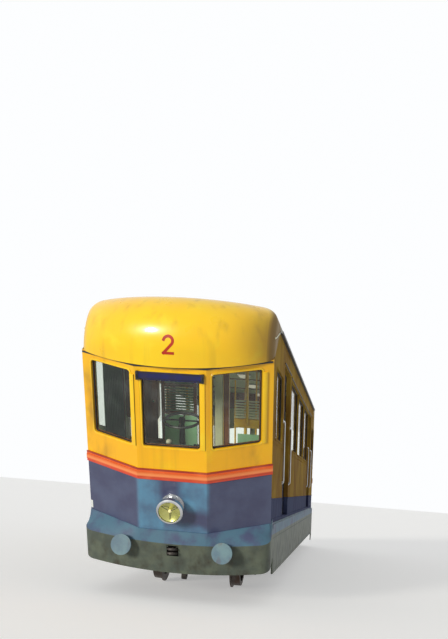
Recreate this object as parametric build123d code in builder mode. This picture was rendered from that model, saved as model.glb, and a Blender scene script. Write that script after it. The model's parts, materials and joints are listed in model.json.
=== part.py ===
from build123d import *
import os
from math import acos, atan, ceil, cos, hypot, pi, sin, sqrt

os.makedirs("parts", exist_ok=True)

# A two-axle funicular car. X runs along the track with +X uphill, Y is across it, Z is square to it,
# and Z = 0 is the lowest point of the wheel flanges. Sizes are in millimetres.
# The body is drawn in level coordinates (x level, z plumb), as it stands on the hill. Their zero is
# the uphill corner of the body on the base line, a line parallel to the track below the floor.

# Gradient and main sizes of the body, in level coordinates
GRADIENT = 0.55
BODY_WIDTH = 2200
BODY_LENGTH = 9720
PROW_DEPTH = 346
PROW_FACET = 798
BASE_HEIGHT = 520
WALL = 60
GAP = 10
FIT_GAP = 0.3

# Plumb heights above the base line
APRON_TOP = 430
LEDGE = 566
STRIPE_BOTTOM = 1220
STRIPE_TOP = 1354
SILL = 1634
HEAD = 2528
BROW = 2620
GUTTER = 3100

# Roof and domes. A dome rounds over from the brow into the roof in one large turn
ROOF_RISE = 215
ROOF_SKIN = 40
ROOF_EDGE_RADIUS = 200
DOME_LENGTH = 650
DOME_CORNER = 240
DOME_ROUND = 450
DOME_SECTIONS = 14
ROOM_SECTIONS = 3
BROW_REACH = 64
MOULDING = 12
MOULDING_CREST = 24
CREST_MARGIN = 36
GUTTER_WIDTH = 35
GUTTER_DEPTH = 28
GUTTER_SHEET = 6

# Windows of the ends and the sides
CENTRE_WINDOW = 650
FACET_WINDOW = 580
FACET_WINDOW_SHIFT = 33
WINDOW_RADIUS = 35
GLASS = 8
SIDE_SILL = 1700
SIDE_HEAD = 2760
CAB_HEAD = 2590
CAB_WINDOW_NEAR = 300
CAB_WINDOW_WIDTH = 860
SALOON_WINDOWS = 3
PILLAR = 150
MULLION = 90
SIDE_WINDOW_RADIUS = 60

# Doorways and sliding doors
DOOR_NEAR = 1420
DOOR_WIDTH = 960
DOOR_HEAD = 2800
DOOR_SILL = 40
DOOR_THICK = 35
DOOR_OVERLAP = 40
DOOR_STILE = 120
DOOR_GLASS_SILL = 1560
DOOR_GLASS_HEAD = 2680
DOOR_RAIL_WIDTH = 75
DOOR_RAIL_DEPTH = 70

# Stepped floor: level landings joined by flights of steps
FLOOR_HEIGHT = 600
FLOOR_THICK = 30
FLOOR_GAP = 6
DOOR_ROOM = 65
STRINGER_Y = 620
STRINGER_THICK = 40
TREAD = 220
RISER_LIMIT = 215
SALOON_ROWS = 3
DOOR_LANDING = 900
CAB_LANDING = 540

# Cab partitions and furniture
PARTITION_X = 1340
PARTITION_THICK = 40
PARTITION_POST = 70
PARTITION_SILL = 900
PARTITION_HEAD = 1950
PARTITION_DOOR = 640
SEAT_HEIGHT = 440
SEAT_DEPTH = 420
SEAT_BACK = 900
SEAT_THICK = 45
BENCH_INNER = 320
BENCH_MARGIN = 25
POLE_RADIUS = 17
POLE_Y = 290
WHEEL_RIM_RADIUS = 210
WHEEL_RIM_TUBE = 16
RIM_SIDES = 6
WHEEL_SPOKES = 4
COLUMN_RADIUS = 55
COLUMN_HEIGHT = 930
COLUMN_TAPER = 1.5
WHEEL_HUB_RADIUS = 38
DESK_DEPTH = 300
DESK_HEIGHT = 760

# Skirts and end aprons. Above each apron the body flares out from its facets to the bow
SKIRT_SHEET = 20
SKIRT_DROP = 150
FLARE_LIP = 8
FLARE_CUT = 30
LEDGE_THICK = 30
APRON_REACH = 74
APRON_SAG = 170
APRON_CORNER = 150
APRON_RETURN = 100
UPHILL_APRON_BOTTOM = 40
DOWNHILL_APRON_BOTTOM = -300

# Track and running gear, square to the track
FLANGE = 28
TREAD_RADIUS = 340
WHEELBASE = 6600
AXLE_RADIUS = 65
HUB_RADIUS = 95
JOURNAL_RADIUS = 45
BACK_TO_BACK = 930
RIM_WIDTH = 135
TYRE = 65
FLANGE_TIP = 20
FLANGE_ROOT = 32
CONING = 5
WEB_IN = 30
WEB_OUT = 60
BOX_Y = 790
BOX_SIZE = 210
BOX_WIDTH = 165
GUIDE_WIDTH = 50
SPRING_RADIUS = 70
RAIL_Y = 533

# Underframe, square to the track
FRAME_TOP = 760
SOLEBAR_DEPTH = 200
SOLEBAR_FLANGE = 90
STEEL = 14
BEARER_DEPTH = 110
BEARER_MARGIN = 560
BEARER_PITCH = 1300
AXLE_ROOM = 480
HEADSTOCK_HALF = 700
HEADSTOCK_BOTTOM = 330
HEADSTOCK_SETBACK = 465
SILL_DEPTH = 60

# Buffers, towing jaws and rope anchor
BUFFER_REACH = 640
BUFFER_HEIGHT = 608
BUFFER_SPACING = 1190
BUFFER_HEAD_RADIUS = 120
BUFFER_CASE_RADIUS = 70
BUFFER_ROD_RADIUS = 45
BUFFER_ROD = 155
JAW_HEIGHT = 580
JAW_WIDTH = 120
JAW_LUG = 23
JAW_GAP = 24
JAW_REACH = 400
PIN_RADIUS = 25
ANCHOR_LUG = 60
ANCHOR_HEIGHT = 230

# Rail brakes
BRAKE_LENGTH = 420
BRAKE_WIDTH = 230
BRAKE_SLOT = 90
BRAKE_OPEN = 220
BRAKE_CLEARANCE = 50
BRAKE_SETBACK = 1320
BRAKE_WAIST = 120
BRAKE_YOKE = 50
BRAKE_POST = 70
BRAKE_SPRING_RADIUS = 62
BRAKE_SPRING_LENGTH = 320

# Headlamps and blind boards
LAMP_HEIGHT = 915
LAMP_RADIUS = 155
LENS_RADIUS = 128
LAMP_REACH = 190
LAMP_RING = 60
LAMP_FOOT = 105
LAMP_FLANGE = 135
BOARD_WIDTH = 720
BOARD_HEIGHT = 88
BOARD_THICK = 25
BOARD_BELOW_HEAD = 36
RIM_ROUND = 12

# Worked out from the sizes above
SLOPE = atan(GRADIENT)
COS = cos(SLOPE)
SIN = sin(SLOPE)
CLEAR_LENGTH = 2 * BODY_LENGTH
CLEAR_HEIGHT = 2 * GUTTER
HALF = BODY_WIDTH / 2
SKIRT_HALF = HALF + SKIRT_SHEET
FLOOR_HALF = HALF - WALL - DOOR_ROOM
BENCH_OUTER = FLOOR_HALF - BENCH_MARGIN
APRON_DEPTH = PROW_DEPTH + APRON_REACH
BROW_DEPTH = PROW_DEPTH + BROW_REACH
CAB_FLOOR_END = PROW_DEPTH - WALL - FLOOR_GAP
FACET_HALF = PROW_FACET / 2
FACET_LENGTH = hypot(PROW_DEPTH, HALF - FACET_HALF)
FACET_OUT = (HALF - FACET_HALF) / FACET_LENGTH
FACET_SIDE = PROW_DEPTH / FACET_LENGTH
BASE_Z = FLANGE + BASE_HEIGHT * COS
AXLE_Z = FLANGE + TREAD_RADIUS
GUTTER_Z = BASE_Z + GUTTER * COS
LEDGE_Z = BASE_Z + LEDGE * COS
SKIRT_Z = BASE_Z - SKIRT_DROP * COS
ROOF_TOP = GUTTER_Z + ROOF_RISE
CROWN = GUTTER + ROOF_RISE / COS
DOME_X = BROW_DEPTH - DOME_ROUND
DOME_Z = CROWN + GRADIENT * DOME_X - DOME_ROUND / COS
UPHILL_LIMIT = DOME_X * COS + DOME_Z * SIN + DOME_ROUND
DOWNHILL_LIMIT = -BODY_LENGTH / COS - BUFFER_REACH
ORIGIN_X = -(UPHILL_LIMIT + DOWNHILL_LIMIT) / 2
CENTRE_X = ORIGIN_X - BODY_LENGTH / 2 / COS + GUTTER / 2 * SIN

# The directions of level and plumb in the frame of the track
LEVEL = Vector(COS, 0, -SIN)
PLUMB = Vector(SIN, 0, COS)
ACROSS = Vector(0, 1, 0)

# Both ends: name, level x of the body corner, direction out of the car
ENDS = (("uphill", 0, 1), ("downhill", -BODY_LENGTH, -1))

# Both sides, seen facing uphill: name, direction of Y
SIDES = (("left", 1), ("right", -1))


def level_point(x, y, z):
    """A point given in level coordinates, in the frame of the track."""
    return Vector(ORIGIN_X, y, BASE_Z) + LEVEL * x + PLUMB * z


def side_plane(y):
    """A side view: local x is level, local y is plumb, and the normal is -Y."""
    return Plane(origin=level_point(0, y, 0), x_dir=LEVEL, z_dir=(0, -1, 0))


def wall_plane(outer, thick, hand):
    """The side view from which a wall of this thickness is extruded on one side of the car."""
    return side_plane(outer if hand > 0 else thick - outer)


def cross_plane(x):
    """A view up the track: local x is across, local y is plumb, and the normal is level."""
    return Plane(origin=level_point(x, 0, 0), x_dir=ACROSS, z_dir=LEVEL)


def plan_plane(corner, out, height=0):
    """A plan of one end: local x points out of the car, and height is above the base line."""
    origin = level_point(corner, 0, GRADIENT * corner + height)
    return Plane(origin=origin, x_dir=LEVEL * out, z_dir=PLUMB)


def facet_plane(corner, out, facet, proud=0):
    """The face of one of the three end facets, -1, 0 or 1, on the base line."""
    plan = plan_plane(corner, out)
    if facet == 0:
        normal = plan.x_dir
        middle = Vector(PROW_DEPTH, 0, 0)
    else:
        normal = plan.x_dir * FACET_OUT + plan.y_dir * (FACET_SIDE * facet)
        middle = Vector(PROW_DEPTH / 2, facet * (FACET_HALF + HALF) / 2, 0)
    origin = plan.from_local_coords(middle) + normal * proud
    return Plane(origin=origin, x_dir=PLUMB.cross(normal), z_dir=normal)


def band(near, far, low, high):
    """Corners of a panel with plumb ends between two lines that run parallel to the track."""
    return (
        (near, GRADIENT * near + low),
        (near, GRADIENT * near + high),
        (far, GRADIENT * far + high),
        (far, GRADIENT * far + low),
    )


def mirrored(near, far):
    """The same stretch of the side, measured from the downhill corner."""
    return (-BODY_LENGTH - far, -BODY_LENGTH - near)


def prow(inset, half):
    """Plan of the faceted prow, moved in by inset and cut off at a half width."""
    reach = FACET_SIDE * HALF - inset
    front = PROW_DEPTH - inset
    front_half = (reach - FACET_OUT * front) / FACET_SIDE
    back = (reach - FACET_SIDE * half) / FACET_OUT
    return ((back, -half), (front, -front_half), (front, front_half), (back, half))


def roof_section(inset, bottom):
    """Outline of the roof across the track, moved in by inset, down to a given height."""
    with BuildSketch(Plane.YZ.offset(-CLEAR_LENGTH / 2)) as section:
        with Locations((0, ROOF_TOP - inset)):
            Rectangle(
                BODY_WIDTH - 2 * inset,
                ROOF_TOP - inset - bottom,
                align=(Align.CENTER, Align.MAX),
            )
        fillet(section.vertices().sort_by(Axis.Y)[-2:], ROOF_EDGE_RADIUS - inset)
    return section.sketch


def roof_space(inset, bottom):
    """Everything under the roof line, as a solid much longer than the car."""
    with BuildPart() as space:
        add(roof_section(inset, bottom))
        extrude(amount=CLEAR_LENGTH, dir=(1, 0, 0))
    return space.part


def floor_level(x):
    """Plumb height of the stepped floor at a level position."""
    return [z for start, end, z in TREADS if end <= x <= start][0]


# Where each landing starts, from the uphill cab down past the benches to the downhill cab
saloon_start = -(DOOR_NEAR + DOOR_WIDTH + DOOR_LANDING)
saloon_end = -BODY_LENGTH + DOOR_NEAR + DOOR_WIDTH
row_pitch = (saloon_start - saloon_end) / SALOON_ROWS
LANDINGS = [CAB_FLOOR_END, -PARTITION_X - WALL]
LANDINGS += [saloon_start - row_pitch * row for row in range(SALOON_ROWS + 1)]
LANDINGS += [-BODY_LENGTH + CAB_LANDING]

# Every level stretch of the floor from the uphill end down: start, end and plumb height
TREADS = []
for index, start in enumerate(LANDINGS):
    height = GRADIENT * start + FLOOR_HEIGHT
    last = index == len(LANDINGS) - 1
    following = -BODY_LENGTH - CAB_FLOOR_END if last else LANDINGS[index + 1]
    drop = 0 if last else GRADIENT * (start - following)
    risers = ceil(drop / RISER_LIMIT)
    landing_end = following + TREAD * max(risers - 1, 0)
    TREADS.append((start, landing_end, height))
    for step in range(1, risers):
        step_start = landing_end - TREAD * (step - 1)
        TREADS.append((step_start, step_start - TREAD, height - drop * step / risers))

# Openings in each side: near edge, far edge, sill line, head line, corner radius
doorways = (
    (-DOOR_NEAR, -DOOR_NEAR - DOOR_WIDTH),
    mirrored(-DOOR_NEAR, -DOOR_NEAR - DOOR_WIDTH),
)
cab_windows = (
    (-CAB_WINDOW_NEAR, -CAB_WINDOW_NEAR - CAB_WINDOW_WIDTH),
    mirrored(-CAB_WINDOW_NEAR, -CAB_WINDOW_NEAR - CAB_WINDOW_WIDTH),
)
saloon_near = -DOOR_NEAR - DOOR_WIDTH - PILLAR
saloon_run = BODY_LENGTH + 2 * saloon_near
pane_width = (saloon_run - MULLION * (SALOON_WINDOWS - 1)) / SALOON_WINDOWS
side_windows = [(near, far, SIDE_SILL, CAB_HEAD) for near, far in cab_windows]
for number in range(SALOON_WINDOWS):
    pane_near = saloon_near - number * (pane_width + MULLION)
    side_windows.append((pane_near, pane_near - pane_width, SIDE_SILL, SIDE_HEAD))


# Underframe: solebars, cross bearers, brackets, headstocks and the sills that carry the body
frame_front = ORIGIN_X + BUFFER_REACH - HEADSTOCK_SETBACK
frame_rear = ORIGIN_X + DOWNHILL_LIMIT + HEADSTOCK_SETBACK
solebar_bottom = FRAME_TOP - SOLEBAR_DEPTH
bearer_bottom = FRAME_TOP - BEARER_DEPTH
solebar_inner = BOX_Y - SOLEBAR_FLANGE / 2
solebar_outer = BOX_Y + SOLEBAR_FLANGE / 2
axle_places = {
    "uphill": CENTRE_X + WHEELBASE / 2,
    "downhill": CENTRE_X - WHEELBASE / 2,
}
bearer_runs = (
    (frame_rear + BEARER_MARGIN, axle_places["downhill"] - AXLE_ROOM),
    (axle_places["downhill"] + AXLE_ROOM, axle_places["uphill"] - AXLE_ROOM),
    (axle_places["uphill"] + AXLE_ROOM, frame_front - BEARER_MARGIN),
)
bearer_places = []
for run_start, run_end in bearer_runs:
    bays = max(ceil((run_end - run_start) / BEARER_PITCH), 1)
    bearer_places += [run_start + (run_end - run_start) * bay / bays for bay in range(bays + 1)]


def channel(middle, top, depth, opening):
    """Section of a rolled channel across the track, open to one side, with its top at a height."""
    with BuildSketch(mode=Mode.PRIVATE) as section:
        with Locations((middle, top)):
            Rectangle(SOLEBAR_FLANGE, depth, align=(Align.CENTER, Align.MAX))
        with Locations((middle + opening * STEEL, top - STEEL)):
            Rectangle(
                SOLEBAR_FLANGE,
                depth - 2 * STEEL,
                align=(Align.CENTER, Align.MAX),
                mode=Mode.SUBTRACT,
            )
    return section.sketch


with BuildPart() as solebars:
    with BuildSketch(Plane.YZ.offset(frame_rear + 2 * STEEL)):
        for side, hand in SIDES:
            add(channel(hand * BOX_Y, FRAME_TOP, SOLEBAR_DEPTH, hand))
    extrude(amount=frame_front - frame_rear - 4 * STEEL)
solebars.part.label = "solebars"
export_step(solebars.part, "parts/solebars.step")

with BuildPart() as cross_bearers:
    for place in bearer_places:
        with BuildSketch(Plane.XZ.offset(-solebar_inner)):
            add(channel(place, FRAME_TOP, BEARER_DEPTH, 1 if place < CENTRE_X else -1))
        extrude(amount=2 * solebar_inner)
cross_bearers.part.label = "cross_bearers"
export_step(cross_bearers.part, "parts/cross_bearers.step")

# Brackets from the solebars out and up to the body sills, one in line with each bearer
bracket_top = LEDGE_Z - SILL_DEPTH
sill_inner = HALF - WALL - SILL_DEPTH
with BuildPart() as body_brackets:
    for place in bearer_places:
        with BuildSketch(Plane.YZ.offset(place - STEEL / 2)):
            for side, hand in SIDES:
                Polygon(
                    (hand * solebar_outer, bearer_bottom),
                    (hand * solebar_outer, FRAME_TOP),
                    (hand * sill_inner, bracket_top),
                    (hand * HALF, bracket_top),
                    (hand * HALF, bracket_top - SILL_DEPTH),
                    align=None,
                )
        extrude(amount=STEEL)
body_brackets.part.label = "body_brackets"
export_step(body_brackets.part, "parts/body_brackets.step")

with BuildPart() as headstocks:
    for place in (frame_rear, frame_front - 2 * STEEL):
        with BuildSketch(Plane.YZ.offset(place)):
            Polygon(
                (-HEADSTOCK_HALF, HEADSTOCK_BOTTOM),
                (HEADSTOCK_HALF, HEADSTOCK_BOTTOM),
                (solebar_outer, solebar_bottom),
                (solebar_outer, FRAME_TOP),
                (-solebar_outer, FRAME_TOP),
                (-solebar_outer, solebar_bottom),
                align=None,
            )
        extrude(amount=2 * STEEL)
headstocks.part.label = "headstocks"
export_step(headstocks.part, "parts/headstocks.step")

with BuildPart() as body_sills:
    for side, hand in SIDES:
        with BuildSketch(wall_plane(HALF, WALL + SILL_DEPTH, hand)):
            Polygon(*band(0, -BODY_LENGTH, LEDGE - SILL_DEPTH / COS, LEDGE), align=None)
        extrude(amount=WALL + SILL_DEPTH)
body_sills.part.label = "body_sills"
export_step(body_sills.part, "parts/body_sills.step")

# Stepped floor: pressed plates over two stringers that stand on the cross bearers
stair_line = []
for start, end, height in TREADS:
    stair_line += [(start, height), (end, height)]
stair_start = (CAB_FLOOR_END, GRADIENT * CAB_FLOOR_END)
stair_end = (stair_line[-1][0], GRADIENT * stair_line[-1][0])
stringer_foot = (FRAME_TOP - BASE_Z) / COS
under_line = [(x + FLOOR_THICK, z - FLOOR_THICK) for x, z in stair_line]
under_line[-1] = (stair_end[0] - FLOOR_THICK, under_line[-1][1])
with BuildPart() as stepped_floor:
    with BuildSketch(side_plane(0)):
        Polygon(
            *stair_line,
            (stair_end[0], stair_end[1] + stringer_foot),
            (stair_start[0], stair_start[1] + stringer_foot),
            align=None,
        )
    extrude(amount=FLOOR_HALF, both=True)
    with BuildSketch(side_plane(0)) as hollow:
        Polygon(
            *under_line,
            (stair_end[0] - FLOOR_THICK, stair_end[1]),
            (stair_start[0] + FLOOR_THICK, stair_start[1]),
            align=None,
        )
    extrude(hollow.sketch, amount=STRINGER_Y, both=True, mode=Mode.SUBTRACT)
    outer_edge = FLOOR_HALF - STRINGER_Y - STRINGER_THICK
    for hand in (1, -1):
        room_start = STRINGER_Y + STRINGER_THICK
        with BuildSketch(side_plane(hand * (room_start + outer_edge))) as outer_hollow:
            Polygon(
                *under_line,
                (stair_end[0] - FLOOR_THICK, stair_end[1]),
                (stair_start[0] + FLOOR_THICK, stair_start[1]),
                align=None,
            )
        extrude(amount=hand * outer_edge, mode=Mode.SUBTRACT)
    with BuildSketch(plan_plane(0, 1, -CLEAR_LENGTH)):
        far_prow = [(-BODY_LENGTH - x, y) for x, y in prow(WALL, FLOOR_HALF)]
        Polygon(*prow(WALL, FLOOR_HALF), *reversed(far_prow), align=None)
    extrude(amount=2 * CLEAR_LENGTH, mode=Mode.INTERSECT)
stepped_floor.part.label = "stepped_floor"
export_step(stepped_floor.part, "parts/stepped_floor.step")


# Side walls, from the ledge to the gutter, with their windows and doorways cut
wall_top = (
    (0, BROW),
    (-DOME_LENGTH, GUTTER - GRADIENT * DOME_LENGTH),
    (-BODY_LENGTH + DOME_LENGTH, GUTTER - GRADIENT * (BODY_LENGTH - DOME_LENGTH)),
    (-BODY_LENGTH, BROW - GRADIENT * BODY_LENGTH),
)
with BuildSketch() as side_panes:
    for near, far, low, high in side_windows:
        with BuildSketch(mode=Mode.PRIVATE) as pane:
            Polygon(*band(near, far, low, high), align=None)
            fillet(pane.vertices(), SIDE_WINDOW_RADIUS)
        add(pane.sketch)

for side, hand in SIDES:
    with BuildPart() as side_wall:
        with BuildSketch(wall_plane(HALF, WALL, hand)):
            Polygon(
                (0, LEDGE),
                *wall_top,
                (-BODY_LENGTH, LEDGE - GRADIENT * BODY_LENGTH),
                align=None,
            )
            add(side_panes.sketch, mode=Mode.SUBTRACT)
            for near, far in doorways:
                Polygon(
                    *band(near, far, LEDGE + DOOR_SILL, DOOR_HEAD),
                    align=None,
                    mode=Mode.SUBTRACT,
                )
        extrude(amount=WALL)
    side_wall.part.label = f"{side}_side_wall"
    export_step(side_wall.part, f"parts/{side}_side_wall.step")

# Window panes, let into the middle of the walls
with BuildPart() as side_glass:
    for side, hand in SIDES:
        with BuildSketch(wall_plane(HALF - WALL / 2, GLASS, hand)):
            add(side_panes.sketch)
        extrude(amount=GLASS)
side_glass.part.label = "side_glass"
export_step(side_glass.part, "parts/side_glass.step")

# Skirts below the side walls: plain sheets that lap over the body sills, under a narrow lip
skirt_strips = (
    (SKIRT_SHEET, -SKIRT_DROP, LEDGE - SKIRT_SHEET),
    (FLARE_LIP, LEDGE - SKIRT_SHEET, LEDGE),
)
with BuildPart() as skirts:
    for side, hand in SIDES:
        for proud, low, high in skirt_strips:
            with BuildSketch(wall_plane(HALF + proud, proud, hand)):
                Polygon(*band(-APRON_RETURN, APRON_RETURN - BODY_LENGTH, low, high), align=None)
            extrude(amount=proud)
skirts.part.label = "skirts"
export_step(skirts.part, "parts/skirts.step")


# End walls: three flat facets with a window in each
def end_pane(facet):
    """Outline of the window in one end facet, on the plane of that facet."""
    wide = CENTRE_WINDOW if facet == 0 else FACET_WINDOW
    with BuildSketch(mode=Mode.PRIVATE) as pane:
        with Locations((-facet * FACET_WINDOW_SHIFT, (SILL + HEAD) / 2)):
            RectangleRounded(wide, HEAD - SILL, WINDOW_RADIUS)
    return pane.sketch


for end, corner, out in ENDS:
    with BuildPart() as end_wall:
        with BuildSketch(plan_plane(corner, out, APRON_TOP)):
            Polygon(*prow(0, HALF), align=None)
            Polygon(*prow(WALL, HALF), align=None, mode=Mode.SUBTRACT)
        extrude(amount=BROW - APRON_TOP)
        for facet in (-1, 0, 1):
            with BuildSketch(facet_plane(corner, out, facet)):
                add(end_pane(facet))
            extrude(amount=WALL, both=True, mode=Mode.SUBTRACT)
    end_wall.part.label = f"{end}_end_wall"
    export_step(end_wall.part, f"parts/{end}_end_wall.step")


# Domes. They are drawn on planes parallel to the roof, so that they run into it smoothly
def dome_station(corner, out, turn, depth=0):
    """Height, front and side inset of a dome at one turn of its rounding, this far under its skin."""
    radius = DOME_ROUND - depth
    centre_x = corner + out * DOME_X
    centre_z = (ROOF_TOP - DOME_ROUND - BASE_Z + centre_x * SIN) / COS
    height = ROOF_TOP - DOME_ROUND + radius * sin(turn)
    front = level_point(centre_x, 0, centre_z).X + out * radius * cos(turn)
    over = max(height - ROOF_TOP + ROOF_EDGE_RADIUS, 0)
    inset = ROOF_EDGE_RADIUS - sqrt(ROOF_EDGE_RADIUS**2 - over**2)
    return height, front, inset


def dome_outline(corner, out, turn):
    """Outline of a dome where its front has turned this far from square to the track."""
    height, front, inset = dome_station(corner, out, turn)
    half = HALF - inset
    shoulder = front - out * BROW_DEPTH / COS * (half / HALF) ** 2
    back = front - out * dome_reach
    with BuildSketch(Plane.XY.offset(height), mode=Mode.PRIVATE) as outline:
        with BuildLine():
            ThreePointArc((shoulder, -half), (front, 0), (shoulder, half))
            Polyline((shoulder, half), (back, half), (back, -half), (shoulder, -half))
        make_face()
        fillet(sorted(outline.vertices(), key=lambda v: out * v.X)[-2:], DOME_CORNER - inset)
    return outline.sketch


def room_outline(corner, out, turn):
    """Outline of the room under a dome, which goes on from the inner faces of the end wall."""
    height, front, inset = dome_station(corner, out, turn, BROW_REACH + WALL)
    half = HALF - WALL - inset
    (flank, flank_y), (brink, brink_y) = prow(WALL, half)[:2]
    shoulder = front - out * (brink - flank) / COS
    back = front - out * dome_reach
    with BuildSketch(Plane.XY.offset(height), mode=Mode.PRIVATE) as outline:
        Polygon(
            (back, flank_y),
            (shoulder, flank_y),
            (front, brink_y),
            (front, -brink_y),
            (shoulder, -flank_y),
            (back, -flank_y),
            align=None,
        )
    return outline.sketch


def rounded_over(outline_at, corner, out, sections, ruled):
    """A solid through the outlines at equal turns, from plumb walls up to the crown of the roof."""
    first_turn = -out * SLOPE
    turn_step = (pi / 2 - first_turn) / sections
    with BuildPart() as solid:
        add(outline_at(corner, out, first_turn))
        extrude(amount=-BROW_DEPTH, dir=PLUMB)
        for section in range(sections + 1):
            add(outline_at(corner, out, first_turn + turn_step * section))
        loft(ruled=ruled)
    return solid.part


dome_reach = 2 * (BROW_DEPTH + DOME_LENGTH)
for end, corner, out in ENDS:
    brow_line = GRADIENT * corner + BROW
    back_x = corner - out * DOME_LENGTH
    front_x = corner + out * CLEAR_LENGTH
    with BuildPart() as dome:
        add(rounded_over(dome_outline, corner, out, DOME_SECTIONS, False))
        # Its lower edge runs level round the brow, then climbs to the gutter
        with BuildSketch(side_plane(0)):
            Polygon(
                (front_x, brow_line),
                (corner, brow_line),
                (back_x, GRADIENT * back_x + GUTTER),
                (back_x, GRADIENT * back_x + CLEAR_HEIGHT),
                (front_x, brow_line + CLEAR_HEIGHT),
                align=None,
            )
        extrude(amount=BODY_WIDTH, both=True, mode=Mode.INTERSECT)
        add(rounded_over(room_outline, corner, out, ROOM_SECTIONS, True), mode=Mode.SUBTRACT)
    dome.part.label = f"{end}_dome"
    export_step(dome.part, f"parts/{end}_dome.step")


# Panes of both ends, let into the middle of the facets
with BuildPart() as end_glass:
    for end, corner, out in ENDS:
        for facet in (-1, 0, 1):
            with BuildSketch(facet_plane(corner, out, facet, -WALL / 2)):
                add(end_pane(facet))
            extrude(amount=-GLASS)
end_glass.part.label = "end_glass"
export_step(end_glass.part, "parts/end_glass.step")

# Raised waist mouldings round the three facets of each end: a flat band with a crest along it
crest_low = STRIPE_BOTTOM + CREST_MARGIN
crest_high = STRIPE_TOP - CREST_MARGIN
moulding_bands = (
    (STRIPE_BOTTOM, STRIPE_TOP, MOULDING),
    (crest_low, crest_high, MOULDING_CREST),
)
with BuildPart() as waist_mouldings:
    for end, corner, out in ENDS:
        for low, high, proud in moulding_bands:
            with BuildSketch(plan_plane(corner, out, low)):
                Polygon(*prow(-proud, HALF + MOULDING), align=None)
                Polygon(*prow(0, BODY_WIDTH), align=None, mode=Mode.SUBTRACT)
            extrude(amount=high - low)
waist_mouldings.part.label = "waist_mouldings"
export_step(waist_mouldings.part, "parts/waist_mouldings.step")


# Roof between the domes, a flat sheet with rounded edges
with BuildPart() as roof:
    add(roof_space(0, GUTTER_Z))
    add(roof_space(ROOF_SKIN, GUTTER_Z - ROOF_SKIN), mode=Mode.SUBTRACT)
    with BuildSketch(side_plane(0)):
        Polygon(*band(-DOME_LENGTH, DOME_LENGTH - BODY_LENGTH, 0, CLEAR_HEIGHT), align=None)
    extrude(amount=BODY_WIDTH, both=True, mode=Mode.INTERSECT)
roof.part.label = "roof"
export_step(roof.part, "parts/roof.step")

# Gutters: open channels along both edges of the roof
with BuildPart() as gutters:
    for side, hand in SIDES:
        with BuildSketch(Plane.YZ.offset(-CLEAR_LENGTH / 2)):
            Polygon(
                (hand * HALF, GUTTER_Z),
                (hand * HALF, GUTTER_Z - GUTTER_DEPTH),
                (hand * (HALF + GUTTER_WIDTH), GUTTER_Z - GUTTER_DEPTH),
                (hand * (HALF + GUTTER_WIDTH), GUTTER_Z),
                (hand * (HALF + GUTTER_WIDTH - GUTTER_SHEET), GUTTER_Z),
                (hand * (HALF + GUTTER_WIDTH - GUTTER_SHEET), GUTTER_Z - GUTTER_DEPTH + GUTTER_SHEET),
                (hand * (HALF + GUTTER_SHEET), GUTTER_Z - GUTTER_DEPTH + GUTTER_SHEET),
                (hand * (HALF + GUTTER_SHEET), GUTTER_Z),
                align=None,
            )
        extrude(amount=CLEAR_LENGTH)
    with BuildSketch(side_plane(0)):
        Polygon(*band(-DOME_LENGTH, DOME_LENGTH - BODY_LENGTH, 0, CLEAR_HEIGHT), align=None)
    extrude(amount=BODY_WIDTH, both=True, mode=Mode.INTERSECT)
gutters.part.label = "gutters"
export_step(gutters.part, "parts/gutters.step")


# The plan of an apron is a shallow bow with rounded corners between two short straight returns
def bow_point(inset, y):
    """The point of the bow at a given distance from the middle."""
    radius = bow_radius - inset
    return (APRON_DEPTH - bow_radius + sqrt(radius**2 - y**2), y)


def apron_line(inset):
    """The line of an apron from its right return round to its left one, moved in by inset."""
    half = SKIRT_HALF - inset
    radius = APRON_CORNER - inset
    swing = acos((SKIRT_HALF - APRON_CORNER) / (bow_radius - APRON_CORNER))
    middle_x = APRON_DEPTH - bow_radius + (bow_radius - APRON_CORNER) * sin(swing)
    knee_x = middle_x + radius * sin(swing / 2)
    knee_y = half - radius + radius * cos(swing / 2)
    join = bow_point(inset, half - radius + radius * cos(swing))
    brink = bow_point(inset, FACET_HALF)
    flank = bow_point(inset, (FACET_HALF + join[1]) / 2)
    with BuildLine() as line:
        Line((-APRON_RETURN, -half), (middle_x, -half))
        ThreePointArc((middle_x, -half), (knee_x, -knee_y), (join[0], -join[1]))
        ThreePointArc((join[0], -join[1]), (flank[0], -flank[1]), (brink[0], -brink[1]))
        ThreePointArc((brink[0], -brink[1]), (APRON_DEPTH - inset, 0), brink)
        ThreePointArc(brink, flank, join)
        ThreePointArc(join, (knee_x, knee_y), (middle_x, half))
        Polyline((middle_x, half), (-APRON_RETURN, half), (-APRON_RETURN, -half))
    return line.line


def apron_outline(inset):
    """Plan of the apron, closed across its back."""
    with BuildSketch(mode=Mode.PRIVATE) as outline:
        add(apron_line(inset))
        make_face()
    return outline.sketch


def lip_outline():
    """Plan of the top of the flare: the facets of the prow with a lip, their outer corners cut."""
    back, front = prow(-FLARE_LIP, HALF + FLARE_LIP)[:2]
    cut_x = back[0] + FLARE_CUT * FACET_SIDE
    cut_y = -back[1] - FLARE_CUT * FACET_OUT
    outline = Polygon(
        (-APRON_RETURN, back[1]),
        (back[0] - FLARE_CUT, back[1]),
        (cut_x, -cut_y),
        front,
        (front[0], -front[1]),
        (cut_x, cut_y),
        (back[0] - FLARE_CUT, -back[1]),
        (-APRON_RETURN, -back[1]),
        align=None,
        mode=Mode.PRIVATE,
    )
    return outline


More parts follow.
